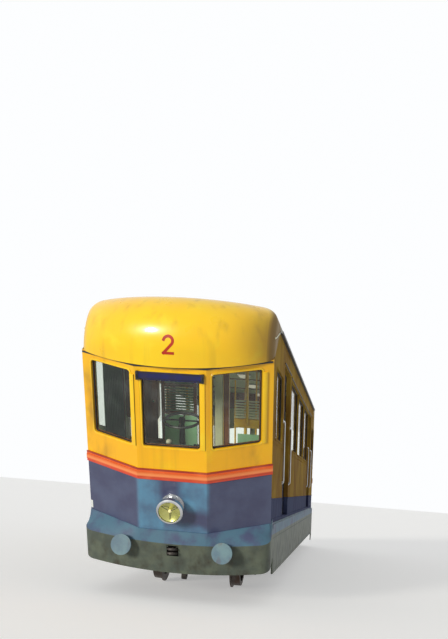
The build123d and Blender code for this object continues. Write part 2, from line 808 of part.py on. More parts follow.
bow_radius = (SKIRT_HALF**2 + APRON_SAG**2) / (2 * APRON_SAG)
for (end, corner, out), apron_bottom in zip(ENDS, (UPHILL_APRON_BOTTOM, DOWNHILL_APRON_BOTTOM)):
    headstock_face = ORIGIN_X + corner / COS + out * (BUFFER_REACH - HEADSTOCK_SETBACK)
    with BuildPart() as apron:
        with BuildSketch(plan_plane(corner, out, apron_bottom)):
            add(apron_outline(0))
            add(apron_outline(SKIRT_SHEET), mode=Mode.SUBTRACT)
            with Locations((-APRON_RETURN, 0)):
                Rectangle(2 * SKIRT_SHEET, 2 * (SKIRT_HALF - SKIRT_SHEET), mode=Mode.SUBTRACT)
        extrude(amount=APRON_TOP - apron_bottom)
        with BuildSketch(plan_plane(corner, out, APRON_TOP - LEDGE_THICK)):
            add(apron_outline(0))
            Polygon(*prow(WALL, HALF - WALL), align=None, mode=Mode.SUBTRACT)
            with Locations((-APRON_RETURN, 0)):
                Rectangle(2 * APRON_RETURN, BODY_WIDTH - 2 * WALL, mode=Mode.SUBTRACT)
        extrude(amount=LEDGE_THICK)
        # The flare, round the foot of the end wall
        with BuildSketch(plan_plane(corner, out, APRON_TOP)):
            add(apron_outline(0))
        with BuildSketch(plan_plane(corner, out, LEDGE)):
            add(lip_outline())
        loft(ruled=True)
        with BuildSketch(plan_plane(corner, out, APRON_TOP)):
            Polygon(*prow(0, HALF), align=None)
            with Locations((-APRON_RETURN, 0)):
                Rectangle(2 * APRON_RETURN, BODY_WIDTH)
        extrude(amount=CLEAR_HEIGHT, mode=Mode.SUBTRACT)
        # Openings for the buffers and the towing jaw
        with BuildSketch(Plane.YZ.offset(headstock_face)):
            with Locations((-BUFFER_SPACING / 2, BUFFER_HEIGHT), (BUFFER_SPACING / 2, BUFFER_HEIGHT)):
                Circle(BUFFER_CASE_RADIUS + GAP)
            with Locations((0, JAW_HEIGHT)):
                Rectangle(JAW_WIDTH + 2 * GAP, JAW_WIDTH)
        extrude(amount=out * BUFFER_REACH, mode=Mode.SUBTRACT)
    apron.part.label = f"{end}_apron"
    export_step(apron.part, f"parts/{end}_apron.step")

# Headlamps: a bowl on a flange with a heavy ring round its lens
lamp_profile = (
    (0, 0),
    (0, LAMP_FLANGE),
    (RIM_ROUND, LAMP_FLANGE),
    (RIM_ROUND, LAMP_FOOT),
    (LAMP_REACH - LAMP_RING, LAMP_RADIUS - RIM_ROUND),
    (LAMP_REACH - LAMP_RING, LAMP_RADIUS),
    (LAMP_REACH - RIM_ROUND, LAMP_RADIUS),
    (LAMP_REACH, LAMP_RADIUS - RIM_ROUND),
    (LAMP_REACH, LENS_RADIUS),
    (LAMP_REACH - LAMP_RING, LENS_RADIUS),
    (LAMP_REACH - LAMP_RING, 0),
)
with BuildPart() as headlamps:
    for end, corner, out in ENDS:
        lamp_z = GRADIENT * corner + LAMP_HEIGHT
        with BuildSketch(side_plane(0)):
            Polygon(
                *[(corner + out * (PROW_DEPTH + reach), lamp_z + radius) for reach, radius in lamp_profile],
                align=None,
            )
        revolve(axis=Axis(level_point(corner, 0, lamp_z), LEVEL))
headlamps.part.label = "headlamps"
export_step(headlamps.part, "parts/headlamps.step")

with BuildPart() as headlamp_lenses:
    for end, corner, out in ENDS:
        with BuildSketch(facet_plane(corner, out, 0, LAMP_REACH - GLASS)):
            with Locations((0, LAMP_HEIGHT)):
                Circle(LENS_RADIUS)
        extrude(amount=-GLASS)
headlamp_lenses.part.label = "headlamp_lenses"
export_step(headlamp_lenses.part, "parts/headlamp_lenses.step")

# Blind boards over the top of the middle windows
with BuildPart() as blind_boards:
    for end, corner, out in ENDS:
        with BuildSketch(facet_plane(corner, out, 0)):
            with Locations((0, HEAD - BOARD_BELOW_HEAD)):
                RectangleRounded(BOARD_WIDTH, BOARD_HEIGHT, RIM_ROUND)
        extrude(amount=BOARD_THICK)
blind_boards.part.label = "blind_boards"
export_step(blind_boards.part, "parts/blind_boards.step")

# Buffers: case, rod and a crowned head at each corner of the frame
with BuildPart() as buffers:
    for end, corner, out in ENDS:
        face_x = ORIGIN_X + corner / COS + out * BUFFER_REACH
        root_x = face_x - out * HEADSTOCK_SETBACK
        case_x = face_x - out * BUFFER_ROD
        for hand in (1, -1):
            with BuildSketch(Plane.XZ.offset(-hand * BUFFER_SPACING / 2)):
                Polygon(
                    (root_x, BUFFER_HEIGHT),
                    (root_x, BUFFER_HEIGHT + BUFFER_HEAD_RADIUS),
                    (root_x + out * STEEL, BUFFER_HEIGHT + BUFFER_HEAD_RADIUS),
                    (root_x + out * STEEL, BUFFER_HEIGHT + BUFFER_CASE_RADIUS),
                    (case_x, BUFFER_HEIGHT + BUFFER_CASE_RADIUS),
                    (case_x, BUFFER_HEIGHT + BUFFER_ROD_RADIUS),
                    (face_x - out * 3 * STEEL, BUFFER_HEIGHT + BUFFER_ROD_RADIUS),
                    (face_x - out * 2 * STEEL, BUFFER_HEIGHT + BUFFER_HEAD_RADIUS),
                    (face_x, BUFFER_HEIGHT + BUFFER_HEAD_RADIUS),
                    (face_x, BUFFER_HEIGHT),
                    align=None,
                )
            revolve(axis=Axis((root_x, hand * BUFFER_SPACING / 2, BUFFER_HEIGHT), (1, 0, 0)))
buffers.part.label = "buffers"
export_step(buffers.part, "parts/buffers.step")

# Towing jaws: two lugs with a gap for the link and a hole for its pin, on each headstock
with BuildPart() as towing_jaws:
    for end, corner, out in ENDS:
        root_x = ORIGIN_X + corner / COS + out * (BUFFER_REACH - HEADSTOCK_SETBACK)
        jaw_x = root_x + out * JAW_REACH
        for bottom in (JAW_HEIGHT + JAW_GAP / 2, JAW_HEIGHT - JAW_GAP / 2 - JAW_LUG):
            with BuildSketch(Plane.XY.offset(bottom)):
                with Locations(((root_x + jaw_x) / 2, 0)):
                    Rectangle(JAW_REACH, JAW_WIDTH)
                with Locations((jaw_x, 0)):
                    Circle(JAW_WIDTH / 2)
                    Circle(PIN_RADIUS, mode=Mode.SUBTRACT)
            extrude(amount=JAW_LUG)
towing_jaws.part.label = "towing_jaws"
export_step(towing_jaws.part, "parts/towing_jaws.step")


# Wheelsets: one axle with two flanged wheels, turned as one piece
wheel_back = BACK_TO_BACK / 2
wheel_face = wheel_back + RIM_WIDTH
journal_end = BOX_Y + BOX_WIDTH / 2 - STEEL
half_wheelset = (
    (0, AXLE_RADIUS),
    (wheel_back, AXLE_RADIUS),
    (wheel_back, HUB_RADIUS),
    (wheel_back + WEB_IN, TREAD_RADIUS - TYRE),
    (wheel_back, TREAD_RADIUS - TYRE),
    (wheel_back, TREAD_RADIUS + FLANGE),
    (wheel_back + FLANGE_TIP, TREAD_RADIUS + FLANGE),
    (wheel_back + FLANGE_ROOT, TREAD_RADIUS),
    (wheel_face, TREAD_RADIUS - CONING),
    (wheel_face, TREAD_RADIUS - TYRE),
    (wheel_back + WEB_OUT, TREAD_RADIUS - TYRE),
    (wheel_face, HUB_RADIUS),
    (wheel_face, JOURNAL_RADIUS),
    (journal_end, JOURNAL_RADIUS),
    (journal_end, 0),
)
for end, axle_x in axle_places.items():
    axle_plane = Plane(origin=(axle_x, 0, AXLE_Z), x_dir=(0, 1, 0), z_dir=(1, 0, 0))
    with BuildPart() as wheelset:
        with BuildSketch(axle_plane):
            Polygon((0, 0), *half_wheelset, align=None)
        revolve(axis=Axis((axle_x, 0, AXLE_Z), (0, 1, 0)))
        mirror(about=Plane.XZ)
    wheelset.part.label = f"{end}_wheelset"
    export_step(wheelset.part, f"parts/{end}_wheelset.step")

# Axle boxes between their guides, under rubber and steel springs
with BuildPart() as axle_boxes:
    for axle_x in axle_places.values():
        for hand in (1, -1):
            box_inner = hand * (BOX_Y - BOX_WIDTH / 2)
            with BuildSketch(Plane.XZ.offset(-box_inner)):
                with Locations((axle_x, AXLE_Z)):
                    Rectangle(BOX_SIZE, BOX_SIZE)
            extrude(amount=-hand * BOX_WIDTH)
            with BuildSketch(Plane.XZ.offset(-box_inner)):
                with Locations((axle_x, AXLE_Z)):
                    Circle(JOURNAL_RADIUS + FIT_GAP)
            extrude(amount=-hand * (BOX_WIDTH - STEEL + FIT_GAP), mode=Mode.SUBTRACT)
axle_boxes.part.label = "axle_boxes"
export_step(axle_boxes.part, "parts/axle_boxes.step")

box_top = AXLE_Z + BOX_SIZE / 2
with BuildPart() as axle_springs:
    for axle_x in axle_places.values():
        for hand in (1, -1):
            with BuildSketch(Plane.XY.offset(box_top)):
                with Locations((axle_x, hand * BOX_Y)):
                    Circle(SPRING_RADIUS)
            extrude(amount=solebar_bottom - box_top)
axle_springs.part.label = "axle_springs"
export_step(axle_springs.part, "parts/axle_springs.step")

with BuildPart() as horn_guides:
    for axle_x in axle_places.values():
        for hand in (1, -1):
            for fore in (1, -1):
                guide_x = axle_x + fore * (BOX_SIZE / 2 + FIT_GAP + GUIDE_WIDTH / 2)
                with BuildSketch(Plane.XY.offset(AXLE_Z - BOX_SIZE / 2)):
                    with Locations((guide_x, hand * BOX_Y)):
                        Rectangle(GUIDE_WIDTH, SOLEBAR_FLANGE)
                extrude(amount=solebar_bottom - AXLE_Z + BOX_SIZE / 2)
horn_guides.part.label = "horn_guides"
export_step(horn_guides.part, "parts/horn_guides.step")

# Rope anchor: a forked lug under the uphill end of the frame, with a bore for the rope pin
anchor_x = bearer_places[-1]
with BuildPart() as rope_anchor:
    with BuildSketch(Plane.XZ):
        Polygon(
            (anchor_x - ANCHOR_LUG, bearer_bottom),
            (anchor_x + ANCHOR_LUG, bearer_bottom),
            (anchor_x + ANCHOR_LUG, ANCHOR_HEIGHT),
            (anchor_x - ANCHOR_LUG, ANCHOR_HEIGHT),
            align=None,
        )
        with Locations((anchor_x, ANCHOR_HEIGHT)):
            Circle(ANCHOR_LUG)
    extrude(amount=ANCHOR_LUG / 2, both=True)
    with BuildSketch(Plane.XZ):
        with Locations((anchor_x, ANCHOR_HEIGHT)):
            Circle(PIN_RADIUS)
    extrude(amount=ANCHOR_LUG, both=True, mode=Mode.SUBTRACT)
rope_anchor.part.label = "rope_anchor"
export_step(rope_anchor.part, "parts/rope_anchor.step")


# Sliding doors, inside the wall: leaf, pane and the rail that each leaf hangs from
door_slide = DOOR_WIDTH / COS
rail_y = HALF - WALL
leaf_y = rail_y - GAP
leaf_low = LEDGE + GAP
leaf_high = DOOR_HEAD + DOOR_OVERLAP
for side, hand in SIDES:
    for (end, corner, out), (near, far) in zip(ENDS, doorways):
        name = f"{end}_{side}_door"
        leaf_near = near + DOOR_OVERLAP
        leaf_far = far - DOOR_OVERLAP
        with BuildSketch(mode=Mode.PRIVATE) as opening:
            Polygon(
                *band(leaf_near - DOOR_STILE, leaf_far + DOOR_STILE, DOOR_GLASS_SILL, DOOR_GLASS_HEAD),
                align=None,
            )
            fillet(opening.vertices(), SIDE_WINDOW_RADIUS)
        with BuildPart() as door:
            with BuildSketch(wall_plane(leaf_y, DOOR_THICK, hand)):
                Polygon(*band(leaf_near, leaf_far, leaf_low, leaf_high), align=None)
                add(opening.sketch, mode=Mode.SUBTRACT)
            extrude(amount=DOOR_THICK)
        door.part.label = name
        export_step(door.part, f"parts/{name}.step")
        with BuildPart() as pane:
            with BuildSketch(wall_plane(leaf_y - (DOOR_THICK - GLASS) / 2, GLASS, hand)):
                add(opening.sketch)
            extrude(amount=GLASS)
        pane.part.label = f"{name}_glass"
        export_step(pane.part, f"parts/{name}_glass.step")

with BuildPart() as door_rails:
    for side, hand in SIDES:
        for (end, corner, out), (near, far) in zip(ENDS, doorways):
            stop = near + DOOR_OVERLAP if out > 0 else far - DOOR_OVERLAP
            reach = stop - out * (2 * DOOR_WIDTH + 3 * DOOR_OVERLAP)
            low = leaf_high + FIT_GAP / COS
            with BuildSketch(wall_plane(rail_y, DOOR_RAIL_WIDTH, hand)):
                Polygon(*band(stop, reach, low, low + DOOR_RAIL_DEPTH), align=None)
            extrude(amount=DOOR_RAIL_WIDTH)
door_rails.part.label = "door_rails"
export_step(door_rails.part, "parts/door_rails.step")


# Cab partitions: framed wooden screens with windows, a middle doorway and a head rail
def partition_hole(low, high, inner, outer):
    """One opening on each side of the middle of a partition."""
    wide = outer - inner
    with Locations((-(inner + outer) / 2, (low + high) / 2), ((inner + outer) / 2, (low + high) / 2)):
        Rectangle(wide, high - low, mode=Mode.SUBTRACT)


interior = roof_space(ROOF_SKIN, 0)
partition_post = PARTITION_DOOR / 2 + PARTITION_POST
window_outer = HALF - WALL - PARTITION_POST
with BuildPart() as cab_partitions:
    for end, corner, out in ENDS:
        screen_x = corner - out * (PARTITION_X - PARTITION_THICK / 2) - PARTITION_THICK / 2
        foot = floor_level(screen_x)
        with BuildSketch(cross_plane(screen_x)):
            with Locations((0, foot)):
                Rectangle(BODY_WIDTH - 2 * WALL, CLEAR_HEIGHT, align=(Align.CENTER, Align.MIN))
                Rectangle(
                    PARTITION_DOOR,
                    PARTITION_HEAD,
                    align=(Align.CENTER, Align.MIN),
                    mode=Mode.SUBTRACT,
                )
            partition_hole(foot + PARTITION_SILL, foot + PARTITION_HEAD, partition_post, window_outer)
        extrude(amount=PARTITION_THICK)
    add(interior, mode=Mode.INTERSECT)
cab_partitions.part.label = "cab_partitions"
export_step(cab_partitions.part, "parts/cab_partitions.step")

# Driving desks under the middle windows
desk_front = PROW_DEPTH - WALL - GAP
desk_back = desk_front - DESK_DEPTH
with BuildPart() as driving_desks:
    for end, corner, out in ENDS:
        foot = floor_level(corner - out * PROW_DEPTH)
        with BuildSketch(side_plane(0)):
            Polygon(
                (corner + out * desk_front, foot),
                (corner + out * desk_front, foot + DESK_HEIGHT),
                (corner + out * desk_back, foot + DESK_HEIGHT - STEEL),
                (corner + out * desk_back, foot + DESK_HEIGHT - WALL),
                (corner + out * (desk_front - DESK_DEPTH / 2), foot),
                align=None,
            )
        extrude(amount=FACET_HALF - WALL, both=True)
driving_desks.part.label = "driving_desks"
export_step(driving_desks.part, "parts/driving_desks.step")

# Brake handwheels, each on a column behind its desk
with BuildPart() as brake_handwheels:
    for end, corner, out in ENDS:
        column_x = corner + out * (desk_back - WHEEL_RIM_RADIUS)
        column_base = level_point(column_x, 0, floor_level(column_x))
        column = Plane(origin=column_base, x_dir=LEVEL, z_dir=PLUMB)
        rim_plane = column.offset(COLUMN_HEIGHT + COLUMN_RADIUS / 2)
        with BuildSketch(column):
            Circle(COLUMN_RADIUS)
        extrude(amount=COLUMN_HEIGHT, taper=COLUMN_TAPER)
        with BuildSketch(column.offset(COLUMN_HEIGHT)):
            Circle(WHEEL_HUB_RADIUS)
        extrude(amount=COLUMN_RADIUS)
        with BuildSketch(rim_plane):
            with PolarLocations(WHEEL_RIM_RADIUS / 2, WHEEL_SPOKES):
                Rectangle(WHEEL_RIM_RADIUS, WHEEL_RIM_TUBE)
        extrude(amount=WHEEL_RIM_TUBE / 2, both=True)
        with BuildSketch(Plane(origin=rim_plane.origin, x_dir=LEVEL, z_dir=(0, -1, 0))):
            with Locations((WHEEL_RIM_RADIUS, 0)):
                RegularPolygon(WHEEL_RIM_TUBE, RIM_SIDES)
        revolve(axis=Axis(rim_plane.origin, PLUMB))
brake_handwheels.part.label = "brake_handwheels"
export_step(brake_handwheels.part, "parts/brake_handwheels.step")

# Benches: a seat and a back in one bent profile on each side of the gangway
bench_places = [start for start, end, height in TREADS if start in LANDINGS[2:-2]]
with BuildPart() as benches:
    for place in bench_places:
        foot = floor_level(place - GAP)
        for hand in (1, -1):
            with BuildSketch(wall_plane(BENCH_OUTER, BENCH_OUTER - BENCH_INNER, hand)):
                back = place - GAP
                Polygon(
                    (back, foot + SEAT_HEIGHT - SEAT_THICK),
                    (back, foot + SEAT_BACK),
                    (back - SEAT_THICK, foot + SEAT_BACK),
                    (back - 2 * SEAT_THICK, foot + SEAT_HEIGHT + SEAT_THICK),
                    (back - SEAT_DEPTH, foot + SEAT_HEIGHT),
                    (back - SEAT_DEPTH, foot + SEAT_HEIGHT - SEAT_THICK),
                    (back - SEAT_DEPTH + SEAT_THICK, foot + SEAT_HEIGHT - SEAT_THICK),
                    (back - SEAT_DEPTH + SEAT_THICK, foot),
                    (back - SEAT_DEPTH + 2 * SEAT_THICK, foot),
                    (back - SEAT_DEPTH + 2 * SEAT_THICK, foot + SEAT_HEIGHT - SEAT_THICK),
                    (back - SEAT_THICK, foot + SEAT_HEIGHT - SEAT_THICK),
                    (back - SEAT_THICK, foot),
                    (back, foot),
                    align=None,
                )
            extrude(amount=BENCH_OUTER - BENCH_INNER)
benches.part.label = "benches"
export_step(benches.part, "parts/benches.step")

# Grab poles at the doorways and beside the benches, from the floor to the roof
pole_places = [(near + far) / 2 for near, far in doorways]
pole_places += [place - SEAT_DEPTH for place in bench_places]
with BuildPart() as grab_poles:
    for place in pole_places:
        with BuildSketch(plan_plane(place, 1, floor_level(place) - GRADIENT * place)):
            with Locations((0, POLE_Y), (0, -POLE_Y)):
                Circle(POLE_RADIUS)
        extrude(amount=CLEAR_HEIGHT)
    add(interior, mode=Mode.INTERSECT)
grab_poles.part.label = "grab_poles"
export_step(grab_poles.part, "parts/grab_poles.step")

# Rail brakes: pincers over each rail, hung from a bearer and closed by a spring cylinder across them
brake_targets = (axle_places["uphill"] - BRAKE_SETBACK, axle_places["downhill"] + BRAKE_SETBACK)
brake_places = [min(bearer_places, key=lambda x: abs(x - target)) for target in brake_targets]
jaw_top = BRAKE_CLEARANCE + BRAKE_OPEN
window_low = jaw_top + BRAKE_YOKE
window_high = bearer_bottom - 2 * BRAKE_YOKE
window_wide = (BRAKE_LENGTH - 3 * BRAKE_POST) / 2
window_shift = (BRAKE_POST + window_wide) / 2
window_z = (window_low + window_high) / 2
half_pincers = (
    (BRAKE_WIDTH / 2, bearer_bottom),
    (BRAKE_WIDTH / 2, bearer_bottom - BRAKE_YOKE),
    (BRAKE_WAIST / 2, window_high),
    (BRAKE_WAIST / 2, window_low),
    (BRAKE_WIDTH / 2, jaw_top),
    (BRAKE_WIDTH / 2, BRAKE_CLEARANCE),
    (BRAKE_SLOT / 2, BRAKE_CLEARANCE),
    (BRAKE_SLOT / 2, jaw_top),
)
other_pincers = [(-y, z) for y, z in reversed(half_pincers)]
with BuildPart() as rail_brakes:
    for place in brake_places:
        with BuildSketch(Plane.YZ.offset(place - BRAKE_LENGTH / 2)):
            with Locations((RAIL_Y, 0), (-RAIL_Y, 0)):
                Polygon(*half_pincers, *other_pincers, align=None)
        extrude(amount=BRAKE_LENGTH)
        with BuildSketch(Plane.XZ):
            with Locations((place - window_shift, window_z), (place + window_shift, window_z)):
                Rectangle(window_wide, window_high - window_low)
        extrude(amount=BODY_WIDTH, both=True, mode=Mode.SUBTRACT)
        for hand in (1, -1):
            with BuildSketch(Plane.XZ.offset(-hand * RAIL_Y)):
                with Locations((place, window_z)):
                    Circle(BRAKE_SPRING_RADIUS)
            extrude(amount=BRAKE_SPRING_LENGTH / 2, both=True)
rail_brakes.part.label = "rail_brakes"
export_step(rail_brakes.part, "parts/rail_brakes.step")
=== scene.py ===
# %% [markdown]
# A funicular car stands plumb on a steep track, so it is a parallelogram in side view: its pillars
# and end walls are plumb, while the roof, the window lines and the skirts run along the rails.
# The construction comes in finished. This lesson gives it its paint, glass, wood and metal, and
# adds the trim that is too small for the construction model.

import json
import math

import bmesh
import bpy
from mathutils import Matrix, Vector
from mathutils.bvhtree import BVHTree

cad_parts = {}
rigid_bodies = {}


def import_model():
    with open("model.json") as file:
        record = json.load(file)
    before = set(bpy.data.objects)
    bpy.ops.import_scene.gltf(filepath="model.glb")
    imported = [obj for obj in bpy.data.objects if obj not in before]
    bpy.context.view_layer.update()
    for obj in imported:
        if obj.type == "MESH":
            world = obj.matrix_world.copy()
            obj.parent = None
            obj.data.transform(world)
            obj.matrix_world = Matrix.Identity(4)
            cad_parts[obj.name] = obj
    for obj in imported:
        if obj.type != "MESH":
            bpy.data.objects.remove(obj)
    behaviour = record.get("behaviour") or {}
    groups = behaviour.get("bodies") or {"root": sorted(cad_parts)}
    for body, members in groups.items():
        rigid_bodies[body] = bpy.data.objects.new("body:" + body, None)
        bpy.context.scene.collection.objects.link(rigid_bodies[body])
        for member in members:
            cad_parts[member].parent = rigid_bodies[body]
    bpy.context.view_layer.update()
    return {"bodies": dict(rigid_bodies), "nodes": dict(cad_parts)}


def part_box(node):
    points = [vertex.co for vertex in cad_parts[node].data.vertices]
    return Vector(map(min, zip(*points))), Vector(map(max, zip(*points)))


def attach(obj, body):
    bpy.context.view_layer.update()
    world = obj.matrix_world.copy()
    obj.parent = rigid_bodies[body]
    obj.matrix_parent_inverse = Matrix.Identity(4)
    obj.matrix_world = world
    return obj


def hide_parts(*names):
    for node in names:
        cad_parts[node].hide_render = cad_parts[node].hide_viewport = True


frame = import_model()

# %% [markdown]
# Level lines of the real car are slanted here, because the frame lies along the track. A point is
# easier to place in level coordinates: x level, y across, z plumb, all from the uphill corner of the
# body on its base line. The side wall tells where they are: its corner under the brow is its
# furthest point uphill, and its gutter line is its highest.

# %% Level coordinates
GRADIENT = 0.55
SLOPE = math.atan(GRADIENT)
RUN = math.cos(SLOPE)
RISE = math.sin(SLOPE)
BROW = 2.62
GUTTER = 3.1
BODY_LENGTH = 9.72
WALL = 0.06
wall_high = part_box("left_side_wall")[1]
HALF = wall_high.y
CORNER_X = wall_high.x - BROW * RISE
BASE_Z = wall_high.z - GUTTER * RUN
LEVEL = Vector((RUN, 0, -RISE))
ACROSS = Vector((0, 1, 0))
PLUMB = Vector((RISE, 0, RUN))
ENDS = (("uphill", 0.0, 1), ("downhill", -BODY_LENGTH, -1))
SIDES = (1, -1)


def level_point(x, y, z):
    """A point given in level coordinates."""
    return Vector((CORNER_X, y, BASE_Z)) + LEVEL * x + PLUMB * z


def slant_point(x, y, height):
    """A point given by its plumb height over the slanted base line."""
    return level_point(x, y, height + GRADIENT * x)


def end_point(corner, out, depth, y, height):
    """A point beyond the corner of an end, by its height over the base line at that corner."""
    return level_point(corner + out * depth, y, height + GRADIENT * corner)


print("uphill corner of the base line", tuple(round(v, 3) for v in level_point(0, 0, 0)))

# %% [markdown]
# The photograph looks down at the uphill end from beside the track. Its camera was worked out from
# the corners of the car: a long normal lens, a little over five metres above the base line, turned
# nine degrees across the track and tilted twenty degrees down.

# %% Camera
EYE = (8.771, 1.982, 5.886)
CAMERA_TURN = math.radians(9.34)
CAMERA_TILT = math.radians(19.82)
LENS = 48.1
FRAME_SHIFT = 0.051

forward = (
    LEVEL * (-math.cos(CAMERA_TILT) * math.cos(CAMERA_TURN))
    + ACROSS * (-math.cos(CAMERA_TILT) * math.sin(CAMERA_TURN))
    + PLUMB * -math.sin(CAMERA_TILT)
)
sideways = LEVEL * -math.sin(CAMERA_TURN) + ACROSS * math.cos(CAMERA_TURN)
upwards = sideways.cross(forward)
camera = bpy.data.objects.new("camera", bpy.data.cameras.new("camera"))
bpy.context.scene.collection.objects.link(camera)
camera.matrix_world = Matrix.Translation(level_point(*EYE)) @ Matrix(
    (sideways, upwards, -forward)
).transposed().to_4x4()
camera.data.lens = LENS
camera.data.shift_y = FRAME_SHIFT
bpy.context.scene.camera = camera
print("camera at", tuple(round(v, 2) for v in camera.location))

# %% [markdown]
# A finish is a tree of nodes. Written one node at a time it hides what it means, so a signal here
# stands for the output of a node, and a sum or product of signals adds the Math node by itself.
# Every other node comes from one function that takes its settings first and then its inputs.

# %% Signals and nodes


def add_node(tree, kind, settings=None, inputs=None, output=0):
    """Adds a node to a tree and returns one of its outputs as a signal."""
    node = tree.nodes.new(kind)
    for name, value in (settings or {}).items():
        if name == "ramp":
            stops = node.color_ramp.elements
            while len(stops) < len(value):
                stops.new(1.0)
            for stop, (position, colour) in zip(stops, value):
                stop.position, stop.color = position, colour
        else:
            setattr(node, name, value)
    for key, value in (inputs or {}).items():
        if isinstance(value, Signal):
            tree.links.new(value.socket, node.inputs[key])
        else:
            node.inputs[key].default_value = value
    return Signal(node.outputs[output])


class Signal:
    """A number, colour or vector that varies over a surface."""

    def __init__(self, socket):
        self.socket = socket

    def math(self, operation, other=0.0, swapped=False):
        """Joins the signal and another one, or a number, by a Math node."""
        first, second = (other, self) if swapped else (self, other)
        inputs = {0: first, 1: second}
        return add_node(self.socket.id_data, "ShaderNodeMath", {"operation": operation}, inputs)

    def __add__(self, other):
        return self.math("ADD", other)

    def __sub__(self, other):
        return self.math("SUBTRACT", other)

    def __rsub__(self, other):
        return self.math("SUBTRACT", other, swapped=True)

    def __mul__(self, other):
        return self.math("MULTIPLY", other)

    def __abs__(self):
        return self.math("ABSOLUTE")

    __radd__ = __add__
    __rmul__ = __mul__

    def step(self, low, high):
        """Rises smoothly from 0 to 1 as the signal goes from low to high."""
        inputs = {"Value": self, "From Min": low, "From Max": high}
        settings = {"interpolation_type": "SMOOTHSTEP"}
        return add_node(self.socket.id_data, "ShaderNodeMapRange", settings, inputs)


def srgb(red, green, blue):
    """A colour as a paint chip shows it, 0 to 255, in the renderer's own scale."""
    shares = [channel / 255 for channel in (red, green, blue)]
    return tuple(s / 12.92 if s < 0.04045 else ((s + 0.055) / 1.055) ** 2.4 for s in shares) + (1.0,)


print("a chip of half grey, 128, is", round(srgb(128, 128, 128)[0], 3), "to the renderer")

# %% [markdown]
# The light is a plain studio: an even surround and one broad lamp that stands where the sun stood,
# over the left of the picture, so that the far side of the car lies in shade. The camera sees a white
# surround and a pale floor, but neither throws more light on the car for it: what they show to the
# camera, to mirrors and through glass is added for those rays alone.

# %% Light and floor
TO_LAMP = (0.69, -0.47, 0.55)
LAMP_STRENGTH = 2.55
LAMP_SPREAD = math.radians(12)
SURROUND_LIGHT = 0.38
SURROUND_SHOWN = 1.0
FLOOR_TONE = 0.8
FLOOR_SHOWN = 0.36
FLOOR_SIZE = 160

bpy.context.scene.view_settings.view_transform = "Standard"
lamp = bpy.data.objects.new("lamp", bpy.data.lights.new("lamp", "SUN"))
bpy.context.scene.collection.objects.link(lamp)
lamp.data.energy = LAMP_STRENGTH
lamp.data.angle = LAMP_SPREAD
lamp.data.color = (1.0, 0.96, 0.88)
lamp_way = LEVEL * TO_LAMP[0] + ACROSS * TO_LAMP[1] + PLUMB * TO_LAMP[2]
lamp.rotation_mode = "QUATERNION"
lamp.rotation_quaternion = lamp_way.to_track_quat("Z", "Y")


def background_rays(tree):
    """1 for what the camera sees, straight, in a mirror or through glass, and 0 for light."""
    rays = [add_node(tree, "ShaderNodeLightPath", output=f"Is {kind} Ray")
            for kind in ("Camera", "Glossy", "Transmission")]
    return rays[0].math("MAXIMUM", rays[1]).math("MAXIMUM", rays[2])


surround = bpy.data.worlds.new("surround")
bpy.context.scene.world = surround
surround.use_nodes = True
surround.node_tree.nodes["Background"].inputs["Color"].default_value = (0.98, 0.99, 1.0, 1.0)
shown = background_rays(surround.node_tree) * (SURROUND_SHOWN - SURROUND_LIGHT) + SURROUND_LIGHT
surround.node_tree.links.new(shown.socket, surround.node_tree.nodes["Background"].inputs["Strength"])

bpy.ops.mesh.primitive_plane_add(size=FLOOR_SIZE)
floor = bpy.context.object
floor.name = "floor"
paper = bpy.data.materials.new("floor_paper")
paper.use_nodes = True
paper_shader = paper.node_tree.nodes["Principled BSDF"]
paper_shader.inputs["Base Color"].default_value = (FLOOR_TONE, FLOOR_TONE, FLOOR_TONE * 0.98, 1)
paper_shader.inputs["Roughness"].default_value = 0.9
paper_shader.inputs["Emission Strength"].default_value = FLOOR_SHOWN
glow = add_node(paper.node_tree, "ShaderNodeMix", {"data_type": "RGBA"},
                {0: background_rays(paper.node_tree), 6: (0, 0, 0, 1), 7: (1, 1, 1, 1)}, 2)
paper.node_tree.links.new(glow.socket, paper_shader.inputs["Emission Color"])
floor.data.materials.append(paper)
print("lamp towards", tuple(round(v, 2) for v in lamp_way))

# %% [markdown]
# Paint on a slanted car weathers plumb: rain runs straight down, not along the sloping lines. So a
# finish knows both the place in the frame and the place in level coordinates, and a mapping node
# turns one into the other.

# %% The finish


